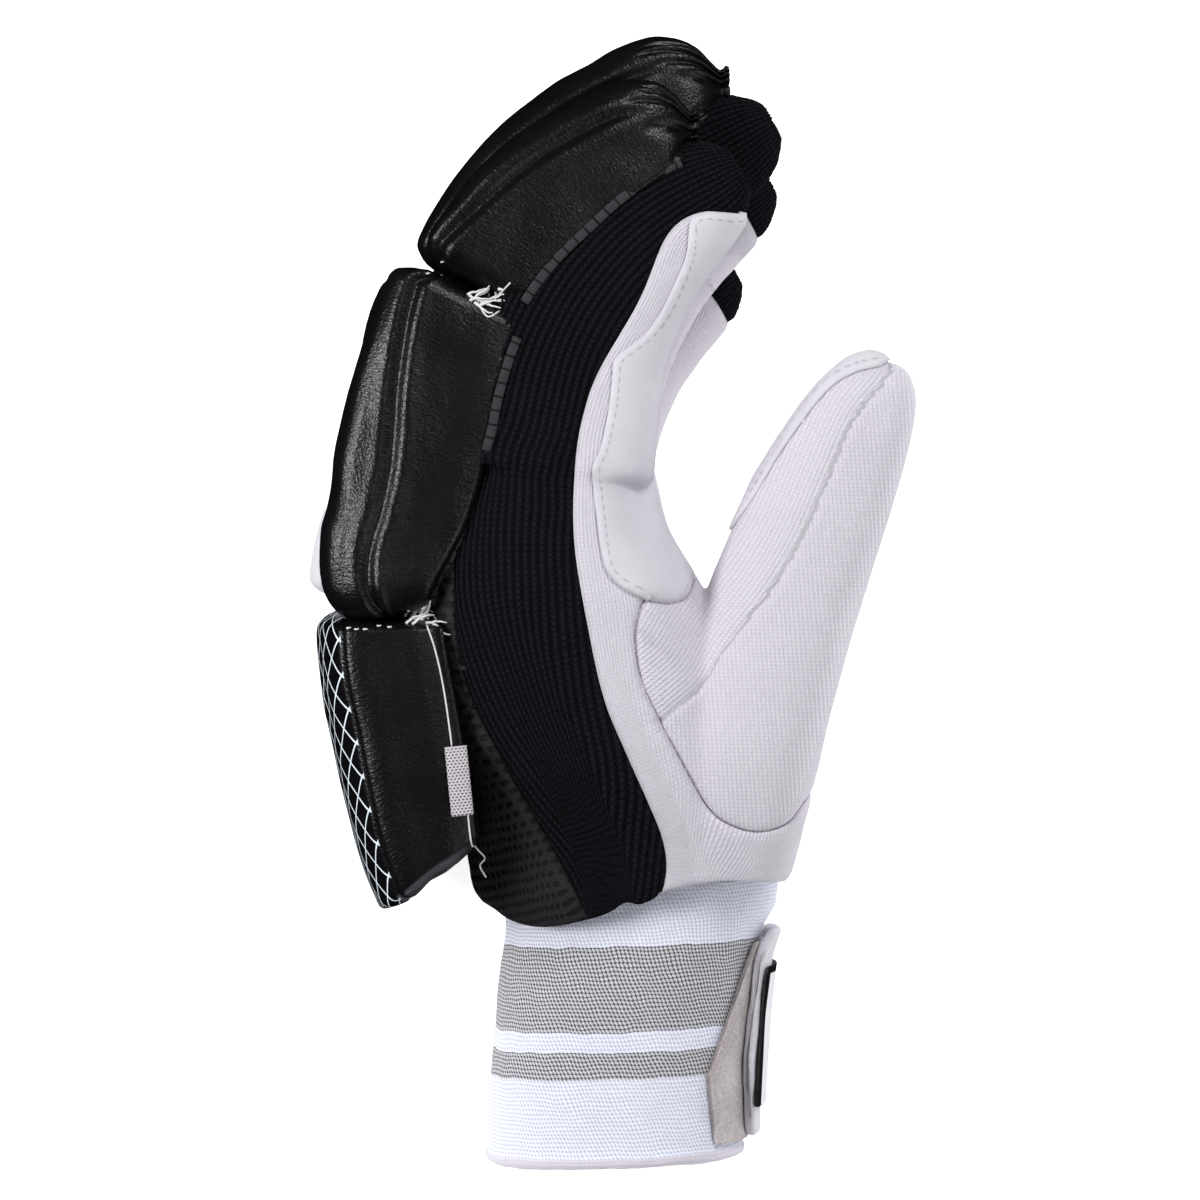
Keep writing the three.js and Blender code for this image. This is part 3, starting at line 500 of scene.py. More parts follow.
# Each panel's edge is drawn onto the real line of its seam
edges = np.concatenate([quads[:, [a, (a + 1) % 4]] for a in range(4)])
owner = np.tile(np.arange(len(quads)), 4)
key = np.sort(edges, axis=1)
order = np.lexsort((key[:, 1], key[:, 0]))
pair = np.all(key[order][1:] == key[order][:-1], axis=1)
first, second = owner[order][:-1][pair], owner[order][1:][pair]
ends = key[order][:-1][pair]
differ = label[first] != label[second]
first, second, ends = first[differ], second[differ], ends[differ]
one, other = np.minimum(label[first], label[second]), np.maximum(label[first], label[second])
low_slab = np.minimum(slab[first], slab[second])
kinds = {
    "rim": one == 0,
    "thumb": (one == 1) & (other == 2),
    "slab": (one > 0) & (slab[first] != slab[second]),
    "palm": (one > 0) & (one < 3) & (other > 2) & (slab[first] == slab[second]),
    "mesh": (one == 3) & (other > 3),
}


def seam_value(kind, where, level):
    """How far from a kind of seam each point lies, signed"""
    if kind == "rim":
        return inside(where, rim_outline)
    if kind == "thumb":
        return thumb_depth(where)
    if kind == "mesh":
        return inside(where, mesh_outline)
    if kind == "palm":
        return palm_depth(where, level)
    return where[:, 2] - np.array(SLAB_TOPS)[np.minimum(level, 2)]


PROBE = 0.2  # mm between the two places at which a value's slope is measured


def toward(where, normal, value_at, limit):
    """Steps along a surface to where a value is zero, each no longer than a limit in mm"""
    value = value_at(where)
    slope = np.stack([(value_at(where + PROBE * axis) - value) / PROBE for axis in np.eye(3)], axis=1)
    slope -= (slope * normal).sum(axis=1)[:, None] * normal
    steep = np.maximum((slope**2).sum(axis=1), 0.09)
    step = -(value / steep)[:, None] * slope
    size = np.linalg.norm(step, axis=1)
    return step * np.minimum(1, limit / np.maximum(size, 1e-6))[:, None]


normals = normals_of(skin)
for turn in range(2):
    for kind in ("slab", "palm", "mesh", "thumb", "rim"):
        chosen, at = np.unique(ends[kinds[kind]].ravel(), return_index=True)
        level = np.repeat(low_slab[kinds[kind]], 2)[at]
        points[chosen] += toward(
            points[chosen], normals[chosen], lambda where: seam_value(kind, where, level), 1.3
        )
points[:, 2] = np.maximum(points[:, 2], 0)
move_points(skin, points)

for name in PANELS:
    skin.data.materials.append(bpy.data.materials.new(name))
skin.data.polygons.foreach_set("material_index", label.astype(np.int32))
pick(skin)
bpy.ops.object.mode_set(mode="EDIT")
bpy.ops.mesh.select_all(action="SELECT")
bpy.ops.mesh.separate(type="MATERIAL")
bpy.ops.object.mode_set(mode="OBJECT")
panels = {}
for part in list(bpy.context.selected_objects):
    name = part.data.materials[0].name
    part.data.materials.clear()
    if name == "cut_off":
        bpy.data.objects.remove(part)
        continue
    part.name = name + "_panel"
    part.data.name = part.name
    panels[name] = part
for name in PANELS:
    bpy.data.materials.remove(bpy.data.materials[name])


def edge_points(piece):
    """Which points lie on a sheet's open edge"""
    mesh = piece.data
    found = np.zeros(len(mesh.loops), int)
    mesh.loops.foreach_get("edge_index", found)
    bare = np.bincount(found, minlength=len(mesh.edges)) == 1
    pairs = np.zeros(len(mesh.edges) * 2, int)
    mesh.edges.foreach_get("vertices", pairs)
    on_edge = np.zeros(len(mesh.vertices), bool)
    on_edge[pairs.reshape(-1, 2)[bare].ravel()] = True
    return on_edge


def from_edge(piece, reach=8):
    """Each point's distance from a sheet's open edge in mm, up to reach"""
    points = points_of(piece)
    rim = points[edge_points(piece)]
    tree = kdtree.KDTree(len(rim))
    for i, p in enumerate(rim):
        tree.insert(p, i)
    tree.balance()
    return np.array([min(tree.find(p)[2], reach) for p in points])


def along_guide(points, guide):
    """Distance along a guide line and to its right, in mm"""
    best = np.full(len(points), 1e9)
    along, side = np.zeros(len(points)), np.zeros(len(points))
    so_far = 0
    for (ax, ay), (bx, by) in zip(guide[:-1], guide[1:]):
        length = math.hypot(bx - ax, by - ay)
        ux, uy = (bx - ax) / length, (by - ay) / length
        t = (points[:, 0] - ax) * ux + (points[:, 1] - ay) * uy
        held = np.clip(t, 0, length)
        gap = np.hypot(points[:, 0] - ax - held * ux, points[:, 1] - ay - held * uy)
        right = (points[:, 0] - ax) * uy - (points[:, 1] - ay) * ux
        closer = gap < best
        best = np.where(closer, gap, best)
        along = np.where(closer, so_far + held, along)
        side = np.where(closer, np.sign(right) * gap, side)
        so_far += length
    return along, side


def map_weave(piece, guide, top):
    """Lays a cloth's threads along a guide line; down the sides they go on with the height"""
    points = points_of(piece)
    along, side = along_guide(points, guide)
    side = side + np.clip(side / 6, -1, 1) * np.maximum(top - points[:, 2], 0) + 0.5 * rumple(points, 13, 8)
    set_map(piece, side, along + 0.5 * rumple(points, 7, 9))
    return side


def set_map(piece, across, along):
    if not piece.data.uv_layers:
        piece.data.uv_layers.new(name="weave")
    piece.data.uv_layers[0].name = "weave"
    corners = np.zeros(len(piece.data.loops), int)
    piece.data.loops.foreach_get("vertex_index", corners)
    chart = np.stack([across, along], axis=1)[corners] * MM
    piece.data.uv_layers[0].data.foreach_set("uv", chart.ravel())


def swell(piece, amount):
    """Moves each point out along its normal, in mm"""
    move_points(piece, points_of(piece) + normals_of(piece) * amount[:, None])


def rumple(points, scale, seed):
    """Smooth random waves of about a scale in mm, between -1 and 1"""
    shift = Vector((seed * 7.3, seed * 3.1, seed * 5.7))
    return np.array([noise.noise(Vector(p) / scale + shift) for p in points])


def settle(piece, material, slot, *nodes):
    """Gives a piece its material, attaches it to the root body and hides the CAD pieces that it stands for;
    its slot is not used
    """
    piece.data.materials.clear()
    piece.data.materials.append(material)
    for face in piece.data.polygons:
        face.use_smooth = True
    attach(piece, "root")
    if nodes:
        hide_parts(*nodes)


# The palm: one panel of soft white cotton jersey from the wrist to the fingertips, with its fine ribs
# running up the hand. It overlaps the black knit a little at the seam, and is sewn from inside.
COTTON_RIB = 1.05  # mm between the jersey's ribs
COTTON_STITCH = 0.95  # mm between its rows of stitches
COTTON_THICKNESS = 1.3


def wave_of(material, source, spacing):
    """A node whose value rises and falls between 0 and 1 once in each spacing in mm"""
    scaled = node(material, "Math", {0: source, 1: 2 * math.pi / (spacing * MM)}, operation="MULTIPLY")
    turned = node(material, "Math", {0: scaled}, operation="COSINE")
    return node(material, "Math", {0: turned, 1: 0.5, 2: 0.5}, operation="MULTIPLY_ADD")


def cells(material, source, wide, tall, slant=0.0, squash=1.0):
    """Distance from the middle of staggered cells of a size in mm, each 1 wide and leaning by slant"""
    split = node(material, "SeparateXYZ", {0: source})
    rows = node(material, "Math", {0: split.outputs["Y"], 1: 1 / (tall * MM)}, operation="MULTIPLY")
    row = node(material, "Math", {0: rows}, operation="FLOOR")
    held = node(material, "Math", {0: split.outputs["X"], 1: 1 / (wide * MM)}, operation="MULTIPLY")
    moved = node(material, "Math", {0: row, 1: 0.5, 2: held}, operation="MULTIPLY_ADD")
    x = node(material, "Math", {0: moved}, operation="FRACT")
    y = node(material, "Math", {0: rows}, operation="FRACT")
    off_x = node(material, "Math", {0: x, 1: 0.5}, operation="SUBTRACT")
    off_y = node(material, "Math", {0: y, 1: 0.5}, operation="SUBTRACT")
    lean = node(material, "Math", {0: off_y, 1: slant, 2: off_x}, operation="MULTIPLY_ADD")
    flat = node(material, "Math", {0: off_y, 1: squash}, operation="MULTIPLY")
    both = node(material, "CombineXYZ", {0: lean, 1: flat})
    return node(material, "VectorMath", {0: both}, operation="LENGTH").outputs["Value"]


def jersey(name, light, shade, rib, stitch, fuzz, contrast):
    """Knitted cotton: ribs along the cloth, each a chain of slanted stitches, under a soft nap"""
    material, shader = new_material(name)
    chart = node(material, "UVMap", {}, uv_map="weave")
    place = node(material, "TexCoord", {}).outputs["Object"]
    split = node(material, "SeparateXYZ", {0: chart})
    ribs = wave_of(material, split.outputs["X"], rib)
    leaning = {0: ribs, 1: 0.7 * stitch * MM, 2: split.outputs["Y"]}
    slant = node(material, "Math", leaning, operation="MULTIPLY_ADD")
    stitches = wave_of(material, slant, stitch)
    both = node(material, "Math", {0: stitches, 1: ribs}, operation="MULTIPLY")
    part = node(material, "Math", {0: ribs, 1: 0.5}, operation="MULTIPLY")
    chain = node(material, "Math", {0: both, 1: 1.2, 2: part}, operation="MULTIPLY_ADD")
    hairs = {"Vector": place, "Scale": 1 / (0.42 * MM), "Detail": 4, "Roughness": 0.65}
    nap = node(material, "TexNoise", hairs)
    height = node(material, "Math", {0: nap, 1: fuzz, 2: chain}, operation="MULTIPLY_ADD")
    tone = node(material, "MapRange", {"Value": height, "From Min": contrast, "From Max": 1.5 + fuzz / 2})
    worn = node(material, "TexNoise", {"Vector": place, "Scale": 35, "Detail": 3})
    soft = node(material, "Math", {0: worn, 1: 0.3, 2: tone}, operation="MULTIPLY_ADD")
    # The colour is darkest in the hollows between the ribs and stitches and lightest on their raised parts:
    # painted shade and painted light, mixed with a random worn tone
    mix = node(material, "Mix", {0: soft, 6: linear(shade), 7: linear(light)}, data_type="RGBA")
    dress(material, shader, mix.outputs[2], height, 0.6, 0.35, roughness=0.95, specular=0.12)
    return material


# Cotton jersey: a matt, slightly violet white, with small shadows between the stitches
cotton = jersey("white_cotton_jersey", "#e3dfe6", "#beb8c2", COTTON_RIB, COTTON_STITCH, 0.9, 0.1)
palm = panels["palm"]
map_weave(palm, np.array(palm_outline(fingers[3])[:-3]), 96)
edge = from_edge(palm)
points = points_of(palm)
waves = 0.35 * rumple(points, 16, 1) + 0.12 * rumple(points, 5, 2)
swell(palm, 0.35 - 0.5 * np.exp(-(edge / 0.9) ** 2) + waves)
finish_with(palm, "SOLIDIFY", thickness=COTTON_THICKNESS * MM, offset=-1)
settle(palm, cotton, "white_palm", "palm")

# The thumb: a tube of the same cotton, set into the palm with a round seam. A second seam runs up its
# middle, where the lower panel's ribs run straight up and the inner panel's follow the thumb.
thumb = panels["thumb"]
MIDDLE_SEAM = [
    (32.6, -28.7), (36.2, -25.6), (43.2, -19.3), (48.7, -10.4), (58.3, 2), (66.4, 15.2), (72.7, 29.6),
    (79.6, 44.8), (87.3, 54.4), (89.5, 62),
]
points = points_of(thumb)
middle = flowing(MIDDLE_SEAM)
outer = inside(points, np.array([*middle, (FAR, middle[-1][1]), (FAR, -FAR), (middle[0][0], -FAR)]))
along, side = along_guide(points, middle)
fall = np.maximum(80 - points[:, 2], 0)
set_map(
    thumb,
    np.where(outer > 0, points[:, 0] + 0.08 * points[:, 1] + fall * 0.7, side - fall),
    np.where(outer > 0, points[:, 1], along),
)
edge = from_edge(thumb)
near = points[:, 2] > 58
seam = np.where(near, np.abs(outer), 9)
amount = 0.25 - 0.9 * np.exp(-(edge / 1.2) ** 2) - 0.55 * np.exp(-(seam / 1.0) ** 2)
ridge = 0.3 * np.where((outer > 0) & near, 1, 0) * np.exp(-(seam / 3) ** 2)
swell(thumb, amount + ridge + 0.3 * rumple(points, 14, 3))
finish_with(thumb, "SOLIDIFY", thickness=COTTON_THICKNESS * MM, offset=-1)
settle(thumb, cotton, "white_palm", "thumb")

# The gussets: a thick black ribbed knit down the side of each finger, drawn round the fingertip. Its
# ribs run from the wrist to the tip, and each is a chain of V stitches in a slightly hairy yarn.
KNIT_RIB = 2.0  # mm between the knit's ribs
KNIT_STITCH = 1.5  # mm between its rows of stitches
KNIT_THICKNESS = 1.6
knit = jersey("black_rib_knit", "#18191f", "#010101", KNIT_RIB, KNIT_STITCH, 1.2, 0.75)
GUSSET_GUIDE = [
    (20.6, -85.8), (20.6, -79.7), (19.4, -66.5), (14.6, -52.1), (8.6, -37.7), (2.6, -23.3), (-1.5, -8.9),
    (-3.4, 5.5), (-3.4, 19.9), (-2.2, 34.3),
]
index_x, index_y, index_angle = fingers[3]["path"](np.linspace(0.1, 1.05, 24))
shift = -8 * (1 - np.linspace(0.1, 1, 24))
tip_guide = zip(index_x + np.cos(index_angle) * shift, index_y - np.sin(index_angle) * shift)
index_guide = flowing([*GUSSET_GUIDE, *tip_guide], 3)
for finger in fingers:
    piece = panels[finger["name"] + "_knit"]
    if finger["name"] == "index":
        guide = index_guide
    else:
        x, y, angle = finger["path"](np.linspace(0, 1.05, 20))
        guide = np.array([(x[0], -90), *zip(x, y)])
    finish_with(piece, "SUBSURF", subdivision_type="SIMPLE", levels=1, render_levels=1)
    across = map_weave(piece, guide, finger["z"] + 12)
    points = points_of(piece)
    edge = from_edge(piece)
    ribs = 0.24 * np.cos(2 * np.pi * across / KNIT_RIB) * np.clip(edge / 1.5, 0, 1)
    waves = 0.35 * rumple(points, 12, 4) + 0.22 * rumple(points, 1.7, 6)
    swell(piece, ribs + 0.1 - 0.7 * np.exp(-(edge / 1.3) ** 2) + waves)
    finish_with(piece, "SOLIDIFY", thickness=KNIT_THICKNESS * MM, offset=-1)
    settle(piece, knit, "black_knit", finger["name"] + "_knit")

# The heel of the back: black spacer mesh, a springy warp knit with staggered oval holes that lets air
# through under the pad. Its lower edge is rolled in and overhangs the cuff.
HOLE_PITCH = 3.4  # mm between the holes across the cloth
MESH_THICKNESS = 1.6
mesh_cloth, shader = new_material("black_spacer_mesh")
# Polyester warp knit: dull strands, with the holes between them painted near black as shade
chart = node(mesh_cloth, "UVMap", {}, uv_map="weave")
out = cells(mesh_cloth, chart, HOLE_PITCH, 0.8 * HOLE_PITCH, squash=1.2)
rim = {"Value": out, "From Min": 0.3, "From Max": 0.38}
solid = node(mesh_cloth, "MapRange", rim, interpolation_type="SMOOTHSTEP")
place = node(mesh_cloth, "TexCoord", {}).outputs["Object"]
yarn = node(mesh_cloth, "TexNoise", {"Vector": place, "Scale": 1 / (0.5 * MM), "Detail": 3})
lit = node(mesh_cloth, "Math", {0: yarn, 1: solid}, operation="MULTIPLY")
mix = node(mesh_cloth, "Mix", {0: lit, 6: linear("#010101"), 7: linear("#2a252c")}, data_type="RGBA")
height = node(mesh_cloth, "Math", {0: yarn, 1: 0.25, 2: solid}, operation="MULTIPLY_ADD")
dress(mesh_cloth, shader, mix.outputs[2], height, 0.8, 0.7, roughness=0.75)
back_mesh = panels["back_mesh"]
map_weave(back_mesh, np.array([(10, -100), (-6, -40), (-10, 60)]), 84)
points = points_of(back_mesh)
edge = from_edge(back_mesh)
swell(back_mesh, 0.3 - 0.9 * np.exp(-(edge / 1.6) ** 2) + 0.3 * rumple(points, 12, 5))
finish_with(back_mesh, "SOLIDIFY", thickness=MESH_THICKNESS * MM, offset=-1)
settle(back_mesh, mesh_cloth, "black_mesh", "back_mesh")

# The leather patches: thin white leather sewn over the cotton where the bat rubs, from the index
# finger's front into the web of the thumb, and on the thumb's gripping side. They keep the form under
# them, stand a little proud of it, and crease softly where the hand bends.


def peel(source, name, keep, lift, thickness):
    """A second layer over part of a form: its faces are copied and moved out"""
    pick(source)
    bpy.ops.object.duplicate()
    layer = bpy.context.object
    layer.name = name
    layer.data.name = name
    faces = np.array([list(face.vertices) for face in layer.data.polygons])
    depth = keep(points_of(layer))
    bpy.ops.object.mode_set(mode="EDIT")
    bpy.ops.mesh.select_mode(type="FACE")
    bpy.ops.object.mode_set(mode="OBJECT")
    layer.data.vertices.foreach_set("select", np.zeros(len(layer.data.vertices), bool))
    layer.data.edges.foreach_set("select", np.zeros(len(layer.data.edges), bool))
    layer.data.polygons.foreach_set("select", depth[faces].mean(axis=1) < 0)
    bpy.ops.object.mode_set(mode="EDIT")
    bpy.ops.mesh.delete(type="FACE")
    bpy.ops.object.mode_set(mode="OBJECT")
    points, normal = points_of(layer), normals_of(layer)
    on_edge = edge_points(layer)
    where, facing = points[on_edge], normal[on_edge]
    for turn in range(3):
        where += toward(where, facing, keep, 1.0)
    points[on_edge] = where
    move_points(layer, points)
    edge = from_edge(layer)
    swell(layer, lift - 0.25 * np.exp(-(edge / 0.8) ** 2) + 0.25 * rumple(points_of(layer), 9, 12))
    hem = layer.data.attributes.new("hem", "FLOAT", "POINT")
    hem.data.foreach_set("value", edge.astype(np.float32))
    finish_with(layer, "SOLIDIFY", thickness=thickness * MM, offset=1)
    return layer


HEM_SEAM, HEM_STITCH = 1.7, 2.4  # mm from a patch's edge to its seam, and between the stitches
white_leather, shader = new_material("white_tanned_leather")
# Thin sheep leather: smooth and slightly waxy, with a very fine grain and faint creases, painted a little
# darker in their hollows as shade
place = node(white_leather, "TexCoord", {}).outputs["Object"]
pores = {"Vector": place, "Scale": 1 / (0.7 * MM)}
grain = node(white_leather, "TexVoronoi", pores, feature="DISTANCE_TO_EDGE")
crease = node(white_leather, "TexNoise", {"Vector": place, "Scale": 90, "Detail": 5, "Roughness": 0.6})
height = node(white_leather, "Math", {0: crease, 1: 3.0, 2: grain}, operation="MULTIPLY_ADD")
mix = node(white_leather, "Mix", {0: crease, 6: linear("#c4c0c8"), 7: linear("#dcd9df")}, data_type="RGBA")
hem = node(white_leather, "Attribute", {}, attribute_name="hem")
off = node(white_leather, "Math", {0: hem.outputs["Fac"], 1: HEM_SEAM}, operation="SUBTRACT")
away = node(white_leather, "Math", {0: off}, operation="ABSOLUTE")
row = node(white_leather, "MapRange", {"Value": away, "From Min": 0.28, "From Max": 0.08})
chart = node(white_leather, "UVMap", {}, uv_map="weave")
split = node(white_leather, "SeparateXYZ", {0: chart})
dash = wave_of(white_leather, split.outputs["Y"], HEM_STITCH)
sewn = node(white_leather, "Math", {0: row, 1: dash}, operation="MULTIPLY")
mix = node(white_leather, "Mix", {0: sewn, 6: mix.outputs[2], 7: linear("#aeaab1")}, data_type="RGBA")
height = node(white_leather, "Math", {0: sewn, 1: -0.8, 2: height}, operation="MULTIPLY_ADD")
dress(white_leather, shader, mix.outputs[2], height, 0.3, 0.25, roughness=0.5)

WEB_PATCH = [
    (40.5, 6.6), (39.3, 2.5), (34.3, 0.4), (29, 0.8), (22, 4.7), (18.9, 10), (17, 23.4), (16.3, 32.3),
    (18.2, 36.6), (20.4, 47.2), (21.1, 54.6), (22, 58.7), (28.8, 64.2), (33.8, 71.6), (38.6, 82.7),
    (39.8, 91.3), (43.4, 93.2), (50.6, 93.2), (60.2, 95.4), (90.2, 95.4), (90.2, 43.8), (56.6, 43.8),
    (42.2, 19.8),
]
patch_outline = flowing([*WEB_PATCH, WEB_PATCH[0]])[:-1]
index_side = fingers[3]["z"] - FINGER_PITCH / 2


def on_patch(where):
    return np.minimum(inside(where, patch_outline), where[:, 2] - index_side - 0.3)


palm_patch = peel(palm, "palm_patch_leather", on_patch, 0.25, 0.8)
settle(palm_patch, white_leather, "white_leather", "palm_patch")

FACING = [
    (42.2, 6.8), (47.5, 13.8), (54.9, 24.6), (63.8, 38.8), (72.7, 50.5), (79.6, 55.3), (86.4, 57.2),
    (88.5, 60.1), (88.5, 62.3), (85.4, 65.4), (66.2, 67.8), (51.8, 48.6), (39.8, 29.4), (32.6, 10.2),
]
facing_outline = flowing([*FACING, FACING[0]])[:-1]


def on_facing(where):
    return np.minimum(inside(where, facing_outline), where[:, 2] - THUMB_ZONE - 1)


facing = peel(thumb, "thumb_facing_leather", on_facing, 0.2, 0.7)
settle(facing, white_leather, "white_leather", "thumb_facing")

# The rolls: split foam wrapped in black coated leather, one over each finger's tip and one over its
# knuckle. A sewn crease runs along each, and the tip roll is gathered into a bunch at the fingertip.
PAD_SINK = 4.8
TIP_ROLL_HEIGHT, KNUCKLE_ROLL_HEIGHT, ROLL_WIDTH = 20, 27, 23
ROLL_BREAK = 0.004
TIP_ROLL_END = 0.965
FINGER_ROLLS = [(0.44, 0.625, -0.5), (0.387, 0.62, -0.5), (0.373, 0.622, -0.5), (0.318, 0.668, 1)]
ROLL_SECTION = [
    (0, -0.24), (0.7, -0.24), (0.98, -0.2), (1.04, -0.08), (1.05, 0.15), (1.07, 0.38), (1.07, 0.55),
    (1.05, 0.68), (1.0, 0.79), (0.93, 0.87), (0.78, 0.95), (0.45, 1.02), (0, 1.03),
]
SECTION_TOP, SECTION_REACH = 1.03, 1.27
# foot is how many mm a roll's lower edge lies from its usual place, and crease is where its crease runs,
# as a share of the roll's height from its outer side
TIP_ROLL = columns("at height width lean foot crease", [
    (0, 1.0, 0.97, -2, -2, 0.1), (0.035, 1.03, 0.98, -2, -2.4, 0.13), (0.25, 1.03, 1, 0, -4, 0.27),
    (0.52, 0.98, 1, 2, -4.5, 0.33), (0.74, 0.94, 0.97, 5, -3.5, 0.36), (0.84, 0.9, 0.92, 6, -2.5, 0.38),
    (0.9, 0.8, 0.82, 5, -1.5, 0.4), (0.94, 0.63, 0.65, 3, -1, 0.4), (0.965, 0.42, 0.46, 1, 0, 0.4),
    (0.98, 0.33, 0.38, 0, 0, 0.4), (0.99, 0.38, 0.45, 0, 0, 0.4), (1, 0.36, 0.43, 0, 0, 0.4),
])
KNUCKLE_ROLL = columns("at height width lean foot crease", [
    (0, 0.8, 0.95, 9, 5, 0.4), (0.035, 0.85, 0.97, 9, 4.6, 0.38), (0.2, 1.0, 1, 6, 2, 0.37),
    (0.45, 1.02, 1, 2, -1.5, 0.4), (0.72, 0.96, 1, 1, -3, 0.33), (0.965, 0.9, 0.97, -2, -3, 0.22),
    (1, 0.86, 0.95, -2, -2.5, 0.2),
])


def back_line(finger):
    """The line along the middle of the back of one finger and of the hand behind it, from the wrist up"""
    wrist = (HAND["at"] >= 0.05) & (HAND["at"] < finger["root"])
    points = [
        (WRIST_X + back * PALM_DEPTH, PALM_BOTTOM + at * PALM_LENGTH)
        for back, at in zip(HAND["back"][wrist], HAND["at"][wrist])
    ]
    shares = FINGER["at"][FINGER["at"] > 0.05]
    x, y, angle = finger["path"](shares)
    half = FINGER["depth"][FINGER["at"] > 0.05] * FINGER_DEPTH * finger["thick"] / 2
    line = flowing([*points, *zip(x - np.cos(angle) * half, y + np.sin(angle) * half)], 12)
    length = np.concatenate([[0], np.cumsum(np.linalg.norm(np.diff(line, axis=0), axis=1))])
    return line, length


def at_length(line, at):
    """The point that lies a length along a line"""
    points, length = line
    return np.array([np.interp(at, length, points[:, k]) for k in (0, 1)])


def ring_noise(rings, scale, shift=(0, 0, 0)):
    """Smooth random waves of a scale in mm over rings of points"""
    return np.array([[noise.noise(Vector(p) / scale + Vector(shift)) for p in r] for r in rings])


def pad_rings(line, span, table, section, height, width, z, spacing, ends, heart=0.42, parts=5):
    """Rings of a stuffed pad that stands on a back line: its ends are rounded, and its section is smooth"""
    length = line[1]
    total = length[-1] * (span[1] - span[0])
    count = int(total / spacing)
    ease = np.linspace(0, 1, count)
    ease = ease - 0.06 * np.sin(2 * np.pi * ease)
    row = eased(table, ease)
    profile = flowing(section, parts)
    around = np.concatenate([profile, profile[-2:0:-1] * [-1, 1]])
    rings = []
    for i, share in enumerate(ease):
        at = length[-1] * (span[0] + share * (span[1] - span[0]))
        base = at_length(line, at)
        ahead, behind = at_length(line, at + 0.5), at_length(line, at - 0.5)
        tangent = (ahead - behind) / np.linalg.norm(ahead - behind)
        lean = math.radians(row["lean"][i])
        c, s = math.cos(lean), math.sin(lean)
        out = np.array([-tangent[1] * c - tangent[0] * s, -tangent[1] * s + tangent[0] * c])
        full = 1
        for inward, reach in ((share * total, ends[0]), ((1 - share) * total, ends[1])):
            if inward < reach:
                full = math.sqrt(1 - (1 - inward / reach) ** 2) * 0.5 + 0.5
        up = around[:, 1] * height * np.where(around[:, 1] > 0, row["height"][i], 1)
        if "foot" in row:
            up = up + row["foot"][i] * np.clip(1 - around[:, 1] / 0.45, 0, 1)
        middle = heart * height
        up = middle + (up - middle) * full
        across = around[:, 0] * row["width"][i] * width / 2 * full
        rings.append(np.stack([base[0] + out[0] * up, base[1] + out[1] * up, z + across], axis=1))
    return np.array(rings), ease


def pushed(rings, amount):
    """Rings moved out along the surface that they span, in mm"""
    turn = np.roll(rings, -1, axis=1) - np.roll(rings, 1, axis=1)
    run = np.gradient(rings, axis=0)
    normal = np.cross(turn, run)
    normal /= np.maximum(np.linalg.norm(normal, axis=2, keepdims=True), 1e-9)
    centre = rings.mean(axis=1, keepdims=True)
    normal *= np.sign((normal * (rings - centre)).sum(axis=2).mean())
    return rings + normal * amount[:, :, None]


def from_crease(sides, marks):
    """How far each point round a section lies from the nearest mark, in points"""
    place = np.arange(sides)
    return np.min([np.abs((place - m + sides / 2) % sides - sides / 2) for m in marks], axis=0)


GRAIN = 0.62  # mm, of the leather
NET_ACROSS, NET_ALONG = 5.6, 3.9  # mm, half of a diamond of the printed net
NET_LINE = 0.5


